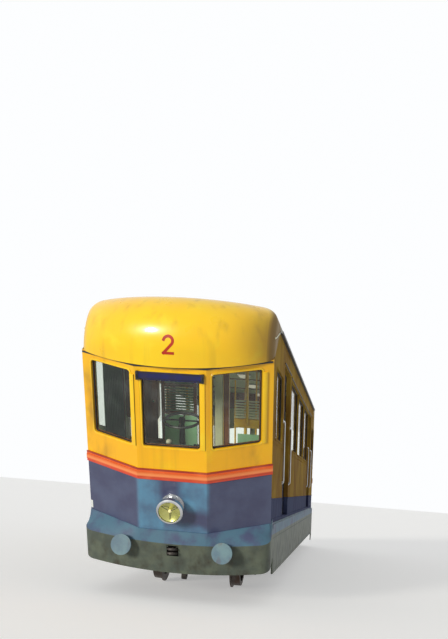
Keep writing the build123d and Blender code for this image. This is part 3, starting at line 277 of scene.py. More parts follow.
class Finish:
    """A material worked out from the place on the car."""

    def __init__(self, name, **constants):
        self.material = bpy.data.materials.new(name)
        self.material.use_nodes = True
        self.tree = self.material.node_tree
        self.shader = self.tree.nodes["Principled BSDF"]
        for socket, value in constants.items():
            self.shader.inputs[socket.replace("_", " ")].default_value = value
        self.place = self.add("ShaderNodeTexCoord", output="Object")
        self.upright = self.add(
            "ShaderNodeMapping",
            inputs={
                "Vector": self.place,
                "Rotation": (0, -SLOPE, 0),
                "Location": (RISE * BASE_Z - RUN * CORNER_X, 0, -RISE * CORNER_X - RUN * BASE_Z),
            },
        )
        self.level, self.y, self.plumb = self.split(self.upright)
        self.height = self.plumb - self.level * GRADIENT
        at_downhill_end = self.level.math("LESS_THAN", -BODY_LENGTH / 2)
        self.end_height = self.plumb + at_downhill_end * (BODY_LENGTH * GRADIENT)

    def add(self, kind, settings=None, inputs=None, output=0):
        """Adds a node of any kind."""
        return add_node(self.tree, kind, settings, inputs, output)

    def split(self, vector):
        """The three parts of a vector."""
        return [self.add("ShaderNodeSeparateXYZ", inputs={0: vector}, output=axis) for axis in (0, 1, 2)]

    def noise(self, scale, detail=3.0, stretch=(1, 1, 1), place=None):
        """Soft random marks, from 0 to 1, about 1 / scale metres across."""
        spread = self.add("ShaderNodeVectorMath", {"operation": "MULTIPLY"},
                          {0: place or self.upright, 1: stretch})
        return self.add("ShaderNodeTexNoise", inputs={"Vector": spread, "Scale": scale, "Detail": detail})

    def mix(self, mask, first, second):
        """The first colour where the mask is 0 and the second where it is 1."""
        return self.add("ShaderNodeMix", {"data_type": "RGBA"}, {0: mask, 6: first, 7: second}, 2)

    def facing(self, direction):
        """How far the surface faces a direction, from -1 to 1."""
        normal = self.add("ShaderNodeNewGeometry", output="Normal")
        return self.add("ShaderNodeVectorMath", {"operation": "DOT_PRODUCT"},
                        {0: normal, 1: direction}, "Value")

    def inside(self, axes=(1, 1, 1)):
        """1 on the faces of the shell that look along the axes towards its middle, else 0."""
        middle = slant_point(-BODY_LENGTH / 2, 0, 1.9)
        normal = self.add("ShaderNodeNewGeometry", output="Normal")
        away = self.add("ShaderNodeVectorMath", {"operation": "SUBTRACT"}, {0: self.place, 1: middle})
        away = self.add("ShaderNodeVectorMath", {"operation": "MULTIPLY"}, {0: away, 1: axes})
        towards = self.add("ShaderNodeVectorMath", {"operation": "DOT_PRODUCT"},
                           {0: normal, 1: away}, "Value")
        behind_glass = abs(self.y).math("LESS_THAN", HALF - WALL / 2)
        return towards.step(-0.9, -1.0) * behind_glass

    def feed(self, socket, signal):
        """Links a signal to the shader."""
        self.tree.links.new(signal.socket, self.shader.inputs[socket])

    def bump(self, relief, depth, strength=1.0):
        """Gives the surface a relief of a depth in metres."""
        self.feed("Normal", self.add("ShaderNodeBump", inputs={
            "Height": relief, "Distance": depth, "Strength": strength}, output="Normal"))


print("finishes turn the frame by", round(math.degrees(SLOPE), 2), "degrees to stand plumb")

# %% [markdown]
# The body is painted yellow over slate blue. On the ends the two meet behind the raised stripe, and
# on the sides at a line parallel to the track, where the yellow is a darker copy that paints the shade
# of the side. The yellow has faded unevenly, rain has drawn plumb streaks below the windows, and dust
# has settled on the outer edges and flanks. Three soft sky-blue patches on the middle facet are a
# painted reflection of the sky: one beside the lamp, one under the stripe on the other side, and one
# along the foot.

# %% Weathered yellow and blue
YELLOW = srgb(255, 216, 12)
YELLOW_DEEP = srgb(254, 200, 8)
YELLOW_FADED = srgb(255, 228, 50)
# Painted shade: the side yellow is a darker copy of the body yellow, for sides that face away from the lamp.
SHADED_SIDE_YELLOW = srgb(180, 146, 58)
SLATE_BLUE = srgb(74, 82, 112)
SLATE_DARK = srgb(62, 66, 98)
SKY_REFLECTION_BLUE = srgb(92, 144, 176)
STREAK_BROWN = srgb(112, 76, 30)
FLANK_SHADE_BROWN = srgb(108, 82, 46)
CREAM = srgb(214, 222, 182)
PANEL_GREEN = srgb(158, 206, 150)
FACET_HALF = 0.399
STRIPE_BOTTOM = 1.22
STRIPE_TOP = 1.354
SIDE_COLOUR_LINE = 0.9
DADO_LINE = 1.62


def weathered_yellow(paint, tones, streaking):
    """Yellow in three tones with plumb streaks, and dust on the outer edges and the flanks."""
    light, deep, faded = tones
    blotches = paint.noise(4.0, 5.0)
    streaks = paint.noise(7.0, 4.0, (1, 1, 0.05))
    dust = paint.noise(2.6, 5.0, (1, 1, 0.6))
    yellow = paint.mix(paint.noise(0.9).step(0.35, 0.7), deep, light)
    yellow = paint.mix(blotches.step(0.55, 0.8) * 0.5, yellow, faded)
    yellow = paint.mix(streaks.step(0.5, 0.78) * streaking, yellow, STREAK_BROWN)
    edge_dust = abs(paint.y).step(0.55, 1.05) * dust.step(0.4, 0.68) * paint.height.step(2.6, 2.2) * 0.6
    yellow = paint.mix(edge_dust, yellow, STREAK_BROWN)
    return yellow, blotches, streaks


# Painted reflection: the sky-blue patches on the middle facet stand for sky mirrored in the paint.
def blue_with_sky_reflection(paint, blotches, streaks):
    """Slate blue, with soft sky-blue patches of painted sky reflection on the middle facet."""
    drift = (paint.noise(2.2, 5.0) - 0.5) * 0.3
    reflection_cloud = paint.noise(3.4, 5.0).step(0.3, 0.62) * 0.55 + 0.45
    blue = paint.mix(blotches.step(0.3, 0.7), SLATE_DARK, SLATE_BLUE)
    reflection_on_facet = abs(paint.y).step(FACET_HALF + 0.05, FACET_HALF - 0.02)
    aside = (paint.y + drift).step(-0.06, -0.22)
    reflection_under_stripe = (paint.y + drift).step(0.05, 0.2) * (paint.end_height + drift).step(0.78, 0.92)
    foot = (paint.end_height + drift).step(0.7, 0.58) * 0.7
    patches = reflection_on_facet * reflection_cloud * (aside + reflection_under_stripe + foot).math("MINIMUM", 1.0)
    blue = paint.mix(patches * 0.95, blue, SKY_REFLECTION_BLUE)
    return paint.mix(streaks.step(0.5, 0.8) * 0.2, blue, SLATE_DARK)


print("the stripe covers the edge from", STRIPE_BOTTOM, "to", STRIPE_TOP)

# %% [markdown]
# One function makes the three body paints. Walls and domes are one solid each, so their inner faces
# are found by the way they look, and get a green dado with cream above it. The flanks of the domes are
# darkened to brown as painted shade, most on the side away from the sun, and are duller there.

# %% Body paint


def body_paint(name, tones, edge=None, streaking=0.25, axes=(1, 1, 1), flanks=0.0, **constants):
    """Gloss paint, yellow above the edge, where the signal passes 0, blue below, and lined inside."""
    paint = Finish(name, **constants)
    colour, blotches, streaks = weathered_yellow(paint, tones, streaking)
    dulled = blotches * 0.2
    # Painted shade: the dome flanks turn brown, most on the side that faces away from the lamp.
    if flanks:
        sideways = paint.facing((0, 1, 0))
        flank_shade = sideways.step(0.35, 0.8) * flanks + sideways.step(-0.6, -0.95) * (flanks * 0.35)
        colour = paint.mix(flank_shade, colour, FLANK_SHADE_BROWN)
        dulled = dulled + flank_shade * 0.4
        paint.feed("Coat Weight", (1 - flank_shade) * paint.shader.inputs["Coat Weight"].default_value)
    if edge:
        colour = paint.mix(edge(paint).step(-0.002, 0.002), blue_with_sky_reflection(paint, blotches, streaks), colour)
    lining = paint.mix(paint.height.step(DADO_LINE - 0.004, DADO_LINE + 0.004), PANEL_GREEN, CREAM)
    paint.feed("Base Color", paint.mix(paint.inside(axes), colour, lining))
    paint.feed("Roughness", dulled + paint.shader.inputs["Roughness"].default_value)
    paint.bump(paint.noise(1.6, 1.0) * 0.8 + paint.noise(90.0, 1.0) * 0.02, 0.004)
    return paint.material


# The sides get darker tones of yellow as painted shade, and heavier streaks of dirt.
shaded_side_paint = body_paint("shaded_side_paint", (SHADED_SIDE_YELLOW, srgb(148, 112, 48), srgb(192, 158, 78)),
                        lambda paint: paint.height - SIDE_COLOUR_LINE, 0.6, (0, 1, 0),
                        Roughness=0.6, Specular_IOR_Level=0.02)
end_paint = body_paint("end_paint", (YELLOW_DEEP, srgb(250, 184, 12), YELLOW),
                       lambda paint: paint.end_height - (STRIPE_BOTTOM + STRIPE_TOP) / 2,
                       Roughness=0.25, Coat_Weight=0.2, Coat_Roughness=0.12)
dome_paint = body_paint("dome_paint", (YELLOW, YELLOW_DEEP, YELLOW_FADED), flanks=0.9,
                        Roughness=0.2, Coat_Weight=0.3, Coat_Roughness=0.12)
print("body paints", shaded_side_paint.name, end_paint.name, dome_paint.name)

# %% [markdown]
# The rest of the car is a handful of plain trades: sprayed steel, varnished wood, cast iron, rubber,
# glass. One function gives a worn paint with its own grime and chips, so that each of them differs
# only in numbers.

# %% Worn paint and metal
GRIME = srgb(58, 50, 42)
RUST = srgb(96, 52, 28)


def worn_finish(name, colour, second, roughness=0.5, metallic=0.0, grime=0.3, scale=6.0, relief=0.0006,
                grime_colour=GRIME):
    """Paint or metal of two near tones, with grime in plumb streaks and soft patches."""
    finish = Finish(name, Metallic=metallic)
    patches = finish.noise(scale, 4.0)
    streaks = finish.noise(scale * 1.6, 4.0, (1, 1, 0.12))
    fine = finish.noise(scale * 14, 3.0)
    base = finish.mix(patches.step(0.35, 0.65), srgb(*colour), srgb(*second))
    dirt = streaks.step(0.48, 0.78) * grime + fine.step(0.6, 0.8) * (grime * 0.5)
    finish.feed("Base Color", finish.mix(dirt, base, grime_colour))
    finish.feed("Roughness", patches * 0.25 + (roughness - 0.12) + dirt * 0.3)
    finish.bump(fine + patches * 0.5, relief)
    return finish.material


frame_paint = worn_finish("frame_paint", (58, 60, 60), (42, 42, 42), 0.6, grime=0.5)
trim_paint = worn_finish("trim_paint", (36, 38, 42), (26, 28, 30), 0.45, grime=0.2)
board_paint = worn_finish("board_paint", (18, 26, 96), (14, 20, 74), 0.4, grime=0.15)
desk_paint = worn_finish("desk_paint", (96, 108, 104), (80, 92, 90), 0.4, grime=0.2)
gutter_paint = worn_finish("gutter_paint", (40, 42, 44), (30, 32, 34), 0.45, grime=0.2)
buffer_paint = worn_finish("buffer_paint", (98, 130, 138), (80, 108, 124), 0.45, grime=0.5,
                           grime_colour=RUST)
pole_paint = worn_finish("pole_paint", (250, 200, 30), (232, 176, 24), 0.3, grime=0.1)
cast_steel = worn_finish("cast_steel", (74, 70, 66), (56, 52, 50), 0.55, 0.7, 0.5,
                         grime_colour=RUST)
wheel_steel = worn_finish("wheel_steel", (92, 84, 78), (70, 62, 56), 0.5, 0.8, 0.5,
                          grime_colour=RUST)
chrome = worn_finish("chrome", (206, 208, 210), (188, 190, 192), 0.22, 1.0, 0.1, relief=0.0002)
rubber = worn_finish("rubber", (34, 34, 34), (24, 24, 24), 0.75, grime=0.3)
floor_sheet = worn_finish("floor_sheet", (84, 74, 64), (70, 62, 54), 0.6, grime=0.4, scale=9.0)
# Painted sunlight: the green and the cream of the cab joinery are lighter copies of the wall lining.
sunlit_panel_green = worn_finish("sunlit_panel_green", (196, 250, 200), (182, 240, 188), 0.4, grime=0.1)
sunlit_cream = worn_finish("sunlit_cream", (232, 232, 196), (218, 218, 184), 0.4, grime=0.12)
door_paint = worn_finish("door_paint", (60, 66, 96), (48, 54, 82), 0.4, grime=0.25)
print("painted finishes ready")

# %% [markdown]
# The skirts and aprons carry two colours: a blue down to the ledge where the flare turns plumb, its
# greenish tint a painted reflection of the sky, and below it a grey-green that hides the dust and oil
# of the track. The roof is weathered grey outside, with sheets lapped every metre and a half, and
# cream inside.

# %% Skirts and roof
FLARE_FOOT = 0.43
SIDE_LEDGE = 0.41
SKIRT_GREEN = srgb(98, 106, 92)
SKIRT_DARK = srgb(80, 88, 80)
SKY_TINTED_TEAL = srgb(78, 112, 132)
ROOF_SHEET = 1.5


def skirt_finish(name):
    """Blue tinted as a painted sky reflection above the ledge line, and dusty grey-green below it, splashed
    with brown at the foot.
    """
    skirt = Finish(name, Roughness=0.5, Specular_IOR_Level=0.3)
    patches = skirt.noise(5.0, 4.0)
    splashes = skirt.noise(9.0, 6.0, (1, 1, 0.7))
    green = skirt.mix(patches.step(0.35, 0.65), SKIRT_GREEN, SKIRT_DARK)
    low = skirt.height.step(0.35, -0.1)
    green = skirt.mix(splashes.step(0.4, 0.85) * low, green, GRIME)
    # Painted reflection: the band above the ledge is the body blue tinted towards the sky.
    sky_tinted_teal = skirt.mix(patches.step(0.4, 0.7), SKY_TINTED_TEAL, SLATE_BLUE)
    on_side = abs(skirt.facing((0, 1, 0))).step(0.97, 0.99)
    line = skirt.end_height - FLARE_FOOT
    side_line = skirt.height - SIDE_LEDGE
    line = line + on_side * (side_line - line)
    skirt.feed("Base Color", skirt.mix(line.step(-0.003, 0.003), green, sky_tinted_teal))
    skirt.feed("Roughness", splashes * 0.3 + 0.4)
    skirt.bump(splashes + patches, 0.0012)
    return skirt.material


def roof_finish(name):
    """Weathered sheets that lap along the roof, cream on the inside."""
    roof = Finish(name, Roughness=0.6)
    along = roof.split(roof.place)[0]
    patches = roof.noise(2.0, 5.0)
    soot = roof.noise(3.0, 4.0, (0.25, 1, 1))
    colour = roof.mix(patches.step(0.35, 0.7), srgb(186, 184, 168), srgb(162, 160, 146))
    colour = roof.mix(soot.step(0.5, 0.8) * 0.3, colour, GRIME)
    sheet = along.math("PINGPONG", ROOF_SHEET / 2)
    lap = sheet.step(0.0, 0.012)
    colour = roof.mix(lap, srgb(96, 92, 82), colour)
    roof.feed("Base Color", roof.mix(roof.inside((0, 0, 1)), colour, CREAM))
    roof.feed("Roughness", patches * 0.2 + 0.5)
    roof.bump(lap * 0.8 + soot * 0.2, 0.004)
    return roof.material


skirt_paint = skirt_finish("skirt_paint")
roof_paint = roof_finish("roof_paint")
print("skirt and roof finishes ready")

# %% [markdown]
# Varnished wood is rings cut along the board: a wave whose bands are bent by noise, stretched along
# the grain. The partition posts are plumb, so their grain runs plumb; the benches lie across.

# %% Varnished wood


def wood_finish(name, light, dark, stretch, gloss=0.25):
    """Brown varnished wood with its grain along the axis that is stretched."""
    wood = Finish(name, Coat_Weight=0.5, Coat_Roughness=0.15)
    grain = wood.noise(60.0, 4.0, stretch)
    figure = wood.noise(9.0, 2.0, stretch)
    colour = wood.mix(figure.step(0.35, 0.7), light, dark)
    colour = wood.mix(grain.step(0.5, 0.75) * 0.6, colour, dark)
    wood.feed("Base Color", colour)
    wood.feed("Roughness", grain * 0.2 + gloss)
    wood.bump(grain, 0.0004)
    return wood.material


post_wood = wood_finish("post_wood", srgb(140, 84, 44), srgb(96, 52, 26), (1, 1, 0.08))
slat_wood = wood_finish("slat_wood", srgb(176, 116, 62), srgb(132, 80, 40), (1, 0.08, 1))
print("wood finishes ready")

# %% [markdown]
# Window glass is a film that lets nearly everything through and mirrors more at a flat angle, with a
# little dust. A pane has two faces, and a Fresnel node would make the second one a full mirror from
# the inside, so the mirror grows with the fifth power of how flat the view is, on both faces alike.

# %% Glass


def glass_finish(name, tint, dust=0.03):
    """Clear glass: what is behind it, and a mirror that grows at flat angles."""
    glass = Finish(name, Metallic=1.0, Roughness=0.03)
    glass.shader.inputs["Base Color"].default_value = (0.92, 0.96, 0.97, 1)
    film = glass.add("ShaderNodeBsdfTransparent", inputs={"Color": tint})
    flatness = glass.add("ShaderNodeLayerWeight", inputs={"Blend": 0.5}, output="Facing")
    mirror = flatness.math("POWER", 5.0) * 0.6 + 0.03
    haze = glass.noise(5.0, 4.0).step(0.45, 0.85) * dust
    body = Signal(glass.shader.outputs[0])
    both = glass.add("ShaderNodeMixShader", inputs={0: mirror + haze, 1: film, 2: body})
    output = glass.tree.nodes["Material Output"]
    glass.tree.links.new(both.socket, output.inputs["Surface"])
    return glass.material


window_glass = glass_finish("window_glass", (0.96, 0.98, 0.95, 1))
lens_glass = glass_finish("lens_glass", (0.96, 0.95, 0.86, 1), 0.01)
print("glass finishes ready")

# %% [markdown]
# The raised stripe is brushed in bands: a dark red line on top, orange down to the crest, a pale band
# at the crest that is a painted highlight, and orange-red below it. A colour ramp over the height of
# the stripe holds the bands.

# %% Stripe


def stripe_paint(name):
    """Bands of red and orange over the height of the stripe, with a painted highlight at the crest."""
    paint = Finish(name, Coat_Weight=0.3, Coat_Roughness=0.15)
    across = (paint.end_height - STRIPE_BOTTOM) * (1 / (STRIPE_TOP - STRIPE_BOTTOM))
    blotches = paint.noise(5.0)
    # The pale stops from 0.42 to 0.58 paint a highlight along the crest.
    bands = paint.add("ShaderNodeValToRGB", {"ramp": (
        (0.0, srgb(206, 56, 28)), (0.3, srgb(222, 80, 36)), (0.42, srgb(246, 146, 84)),
        (0.58, srgb(240, 130, 62)), (0.64, srgb(228, 108, 40)), (0.84, srgb(220, 92, 34)),
        (0.86, srgb(156, 40, 18)), (1.0, srgb(156, 40, 18)),
    )}, {"Fac": across})
    paint.feed("Base Color", paint.mix(blotches.step(0.5, 0.8) * 0.2, bands, srgb(255, 160, 96)))
    paint.feed("Roughness", blotches * 0.2 + 0.3)
    paint.bump(paint.noise(80.0, 1.0), 0.0003)
    return paint.material


waist_paint = stripe_paint("waist_paint")
print("stripe finish ready")

# %% [markdown]
# The construction is one object for each node, so its looks are a table: for every finish the nodes
# that wear it. The walls and domes are lined inside by their own finish, not by a second object.

# %% Finishes on the construction
CAD_FINISHES = {
    frame_paint: "solebars cross_bearers body_brackets headstocks body_sills horn_guides",
    skirt_paint: "skirts uphill_apron downhill_apron",
    roof_paint: "roof",
    gutter_paint: "gutters door_rails",
    chrome: "headlamps",
    lens_glass: "headlamp_lenses",
    board_paint: "blind_boards",
    buffer_paint: "buffers",
    cast_steel: "towing_jaws rope_anchor axle_boxes rail_brakes",
    rubber: "axle_springs",
    floor_sheet: "stepped_floor",
    shaded_side_paint: "left_side_wall right_side_wall",
    end_paint: "uphill_end_wall downhill_end_wall",
    dome_paint: "uphill_dome downhill_dome",
    waist_paint: "waist_mouldings",
    window_glass: "side_glass end_glass uphill_left_door_glass uphill_right_door_glass"
                  " downhill_left_door_glass downhill_right_door_glass",
    post_wood: "cab_partitions",
    desk_paint: "driving_desks",
    trim_paint: "brake_handwheels",
    slat_wood: "benches",
    pole_paint: "grab_poles",
    wheel_steel: "uphill_wheelset downhill_wheelset",
    door_paint: "uphill_left_door uphill_right_door downhill_left_door downhill_right_door",
}
for finish, names in CAD_FINISHES.items():
    for name in names.split():
        for slot in frame["nodes"][name].material_slots:
            slot.material = finish
print("finished", len(frame["nodes"]), "nodes")

# %% [markdown]
# Trim is built from three kinds of solid: a bar with eased edges, a turned shape and a bent rod. Each
# is added to a mesh that is still open, so that one trade of trim becomes one object, and a placement
# matrix says where it stands, on a side wall or on a facet of an end.

# %% Placements
PROW_DEPTH = 0.346
FACET_LENGTH = math.hypot(PROW_DEPTH, HALF - FACET_HALF)
FACET_OUT = (HALF - FACET_HALF) / FACET_LENGTH
FACET_SIDE = PROW_DEPTH / FACET_LENGTH


def placement(origin, along, up, out_way):
    """A matrix whose axes run along, up and out from an origin."""
    return Matrix.Translation(origin) @ Matrix((along, up, out_way)).transposed().to_4x4()


def side_place(x, hand, height):
    """A placement on a side wall, at a plumb height over the slanted base line."""
    return placement(slant_point(x, hand * HALF, height), LEVEL * -hand, PLUMB, ACROSS * hand)


def facet_place(corner, out, facet, height, proud=0.0):
    """A placement on one of the three facets of an end, -1, 0 or 1."""
    forth = LEVEL * out
    normal = forth * FACET_OUT + ACROSS * (out * facet * FACET_SIDE) if facet else forth
    middle = (FACET_HALF + HALF) / 2 * facet * out
    depth = PROW_DEPTH / 2 if facet else PROW_DEPTH
    origin = end_point(corner, out, depth, middle, height)
    return placement(origin + normal * proud, PLUMB.cross(normal), PLUMB, normal)


print("middle facet faces", tuple(round(v, 3) for v in facet_place(0.0, 1, 0, 1.0).col[2][:3]))

# %% Solids for trim


def add_bar(shape, place, size, centre=(0, 0, 0), ease=0.002):
    """Adds a bar with eased edges."""
    block = Matrix.Translation(centre) @ Matrix.Diagonal((*size, 1))
    made = bmesh.ops.create_cube(shape, size=1, matrix=place @ block)
    edges = list(dict.fromkeys(edge for vert in made["verts"] for edge in vert.link_edges))
    bmesh.ops.bevel(shape, geom=edges, offset=ease, segments=2, profile=0.6, affect="EDGES")


def add_turned(shape, place, profile, sides=28, at=(0, 0, 0)):
    """Adds a shape turned about the out axis at a point, from pairs of radius and rise."""
    place = place @ Matrix.Translation(at)
    rings = []
    for radius, rise in profile:
        around = 1 if radius == 0 else sides
        turns = [2 * math.pi * n / around for n in range(around)]
        rings.append([shape.verts.new(place @ Vector((radius * math.cos(t), radius * math.sin(t), rise)))
                      for t in turns])
    for low, high in zip(rings, rings[1:]):
        join_rings(shape, low, high, sides)


def join_rings(shape, low, high, sides):
    """Joins two rings of corners by faces. A ring of one corner makes a cone."""
    for n in range(sides):
        corners = (low[n % len(low)], low[(n + 1) % len(low)],
                   high[(n + 1) % len(high)], high[n % len(high)])
        shape.faces.new(list(dict.fromkeys(corners)))


def add_rod(shape, points, radius):
    """Adds a round rod along a smooth path."""
    curve = bpy.data.curves.new("rod", "CURVE")
    curve.dimensions = "3D"
    curve.bevel_depth = radius
    curve.bevel_resolution = 3
    curve.use_fill_caps = True
    spline = curve.splines.new("NURBS")
    spline.points.add(len(points) - 1)
    for slot, point in zip(spline.points, points):
        slot.co = (*point, 1)
    spline.order_u = 3
    spline.use_endpoint_u = True
    rod = bpy.data.objects.new("rod", curve)
    shape.from_mesh(bpy.data.meshes.new_from_object(rod))
    bpy.data.objects.remove(rod)


print("solids: bars with eased edges, turned shapes, rods")

# %% [markdown]
# A mesh that is complete becomes a piece. Its doubled corners are merged, its faces are turned
# outwards, and every edge sharper than an angle stays sharp while the rest is shaded smooth. Then it
# gets its finish and is told which body it rides on.

# %% From mesh to piece


def finish_piece(name, mesh, finish, body="car", crease=35):
    """Makes an object of a mesh, gives it a finish and lets it ride on a body."""
    shape = bmesh.new()
    shape.from_mesh(mesh)
    bmesh.ops.remove_doubles(shape, verts=shape.verts, dist=1e-6)
    bmesh.ops.recalc_face_normals(shape, faces=shape.faces)
    shape.to_mesh(mesh)
    shape.free()
    mesh.materials.clear()
    mesh.materials.append(finish)
    mesh.shade_smooth()
    mesh.set_sharp_from_angle(angle=math.radians(crease))
    piece = bpy.data.objects.new(name, mesh)
    bpy.context.scene.collection.objects.link(piece)
    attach(piece, body)
    triangles = sum(len(face.vertices) - 2 for face in mesh.polygons)
    print(name, triangles, "triangles")
    return piece


def shape_piece(name, shape, finish, body="car", crease=35):
    """Turns an open mesh into a finished piece."""
    mesh = bpy.data.meshes.new(name)
    shape.to_mesh(mesh)
    shape.free()
    return finish_piece(name, mesh, finish, body, crease)


# %% [markdown]
# Seals, frames, battens, slats and drip strips are all one thing: a bar of a small section that runs
# along a line on the car. A node tree sweeps that section along any set of lines. Each line carries
# the way out of the surface as an attribute, so that the section lies flat on whatever it follows.

# %% Lines on the car


def line_mesh(lines):
    """A mesh of lines: each is a list of points, the ways out of the surface, and whether it closes."""
    points, ways, edges = [], [], []
    for line, outward, closed in lines:
        first = len(points)
        points += line
        ways += outward if isinstance(outward, list) else [outward] * len(line)
        edges += [(first + n, first + n + 1) for n in range(len(line) - 1)]
        if closed:
            edges.append((len(points) - 1, first))
    mesh = bpy.data.meshes.new("lines")
    mesh.from_pydata(points, edges, [])
    way_out = mesh.attributes.new("way_out", "FLOAT_VECTOR", "POINT")
    way_out.data.foreach_set("vector", [value for way in ways for value in way])
    return mesh


def open_tree(name, sizes):
    """Starts a node tree that takes lines and named sizes, and returns them as signals."""
    tree = bpy.data.node_groups.new(name, "GeometryNodeTree")
    tree.interface.new_socket("Lines", in_out="INPUT", socket_type="NodeSocketGeometry")
    for label, kind in sizes.items():
        tree.interface.new_socket(label, in_out="INPUT", socket_type="NodeSocket" + kind)
    tree.interface.new_socket("Trim", in_out="OUTPUT", socket_type="NodeSocketGeometry")
    group = tree.nodes.new("NodeGroupInput")
    return tree, {socket.name: Signal(socket) for socket in group.outputs if socket.name}


def close_tree(tree, geometry, finish):
    """Makes instances real, gives the finish and ends the tree."""
    real = add_node(tree, "GeometryNodeRealizeInstances", inputs={0: geometry})
    painted = add_node(tree, "GeometryNodeSetMaterial", inputs={0: real, "Material": finish})
    output = tree.nodes.new("NodeGroupOutput")
    tree.links.new(painted.socket, output.inputs[0])


def grow(tree, lines, **sizes):
    """Runs a tree on lines and returns the result as a plain mesh."""
    holder = bpy.data.objects.new("holder", line_mesh(lines))
    bpy.context.scene.collection.objects.link(holder)
    modifier = holder.modifiers.new("grow", "NODES")
    modifier.node_group = tree
    named = {socket.name: socket.identifier for socket in tree.interface.items_tree}
    for label, value in sizes.items():
        modifier[named[label]] = value
    depsgraph = bpy.context.evaluated_depsgraph_get()
    mesh = bpy.data.meshes.new_from_object(holder.evaluated_get(depsgraph))
    holder.modifiers.remove(modifier)
    bpy.data.objects.remove(holder)
    return mesh


# %% The sweeping tree
sweep, sizes = open_tree("sweep", {
    "Width": "Float", "Proud": "Float", "Round": "Float", "Shift": "Float", "Lift": "Float",
    "Count": "Int", "Step": "Vector", "Finish": "Material",
})
way_out = add_node(sweep, "GeometryNodeInputNamedAttribute", {"data_type": "FLOAT_VECTOR"},
                   {"Name": "way_out"})
lift = add_node(sweep, "ShaderNodeVectorMath", {"operation": "SCALE"}, {0: way_out, "Scale": sizes["Lift"]})
lifted = add_node(sweep, "GeometryNodeSetPosition", inputs={0: sizes["Lines"], "Offset": lift})
paths = add_node(sweep, "GeometryNodeMeshToCurve", inputs={0: lifted})
facing_out = add_node(sweep, "GeometryNodeSetCurveNormal", {"mode": "FREE"},
                      {"Curve": paths, "Normal": way_out})
section = add_node(sweep, "GeometryNodeCurvePrimitiveQuadrilateral",
                   inputs={"Width": sizes["Proud"], "Height": sizes["Width"]})
eased = add_node(sweep, "GeometryNodeFilletCurve", inputs={"Curve": section, "Radius": sizes["Round"]})
aside = add_node(sweep, "ShaderNodeCombineXYZ", inputs={0: sizes["Proud"] * 0.5, 1: sizes["Shift"]})
placed = add_node(sweep, "GeometryNodeTransform", inputs={"Geometry": eased, "Translation": aside})
swept = add_node(sweep, "GeometryNodeCurveToMesh",
                 inputs={"Curve": facing_out, "Profile Curve": placed, "Fill Caps": True})
row = add_node(sweep, "GeometryNodeMeshLine", {"mode": "OFFSET"},
               {"Count": sizes["Count"], "Offset": sizes["Step"]})
repeated = add_node(sweep, "GeometryNodeInstanceOnPoints", inputs={"Points": row, "Instance": swept})
close_tree(sweep, repeated, sizes["Finish"])


def sweep_piece(name, lines, finish, width, proud, body="car", ease=0.001, shift=0.0, lift=0.0,
                count=1, step=(0, 0, 0)):
    """A piece of trim swept along lines, repeated count times a step apart."""
    mesh = grow(sweep, lines, Width=width, Proud=proud, Round=ease, Shift=shift, Lift=lift,
                Count=count, Step=Vector(step), Finish=finish)
    return finish_piece(name, mesh, finish, body)


print("sweeping tree of", len(sweep.nodes), "nodes")

# %% [markdown]
# Rivets and bolts follow lines too, at an even pitch. A second tree spaces points along each line and
# sets a small cone without its tip on each of them: eight sides make a rivet, six make a bolt.

# %% The stud tree
BOLTS = 6

stud_tree, sizes = open_tree("studs", {
    "Pitch": "Float", "Radius": "Float", "Crown": "Float", "Height": "Float", "Sides": "Int",
    "Finish": "Material",
})
stud_way = add_node(stud_tree, "GeometryNodeInputNamedAttribute", {"data_type": "FLOAT_VECTOR"},
                    {"Name": "way_out"})
stud_paths = add_node(stud_tree, "GeometryNodeMeshToCurve", inputs={0: sizes["Lines"]})
spaced = add_node(stud_tree, "GeometryNodeResampleCurve", {"mode": "LENGTH"},
                  {"Curve": stud_paths, "Length": sizes["Pitch"]})
head = add_node(stud_tree, "GeometryNodeMeshCone", {"fill_type": "NGON"},
                {"Vertices": sizes["Sides"], "Radius Top": sizes["Crown"],
                 "Radius Bottom": sizes["Radius"], "Depth": sizes["Height"]})
upright = add_node(stud_tree, "FunctionNodeAlignRotationToVector", {"axis": "Z"}, {"Vector": stud_way})
studded = add_node(stud_tree, "GeometryNodeInstanceOnPoints",
                   inputs={"Points": spaced, "Instance": head, "Rotation": upright})
close_tree(stud_tree, studded, sizes["Finish"])


def stud_piece(name, lines, finish, pitch, radius=0.006, height=0.003, crown=0.6, sides=8):
    """Rivets or bolts a pitch apart along lines, with a crown that is a share of the radius."""
    mesh = grow(stud_tree, lines, Pitch=pitch, Radius=radius, Crown=radius * crown, Height=height,
                Sides=sides, Finish=finish)
    return finish_piece(name, mesh, finish)


def ring_line(centre, way, radius, points=24):
    """A closed round line about a way out, for a ring of bolts."""
    turn = way.to_track_quat("Z", "Y")
    steps = [2 * math.pi * n / points for n in range(points)]
    return [centre + turn @ Vector((radius * math.cos(t), radius * math.sin(t), 0)) for t in steps], way, True


def bolt_rings(name, rings, ring_radius, radius, height):
    """Six bolts on each of a set of rings."""
    pitch = 2 * math.pi * ring_radius / BOLTS
    return stud_piece(name, rings, chrome, pitch, radius, height, 0.95, BOLTS)


print("stud tree of", len(stud_tree.nodes), "nodes")

# %% [markdown]
# Rubber seals hold the panes. Where they run is read from the panes themselves: their triangles are
# merged back into flat faces, and the rim of each large face that looks outwards is one line.

# %% Rims of the panes
SEAL_WIDTH = 0.016
SEAL_PROUD = 0.012
DOOR_SEAL_PROUD = 0.009
DOORS = [name for name in frame["bodies"] if name.endswith("_door")]


def merged(node, flat=False):
    """An open copy of a node's mesh, with its corners merged and, if flat, its faces too."""
    shape = bmesh.new()
    shape.from_mesh(frame["nodes"][node].data)
    bmesh.ops.remove_doubles(shape, verts=shape.verts, dist=1e-5)
    if flat:
        bmesh.ops.dissolve_limit(shape, angle_limit=0.01, verts=shape.verts, edges=shape.edges)
    return shape


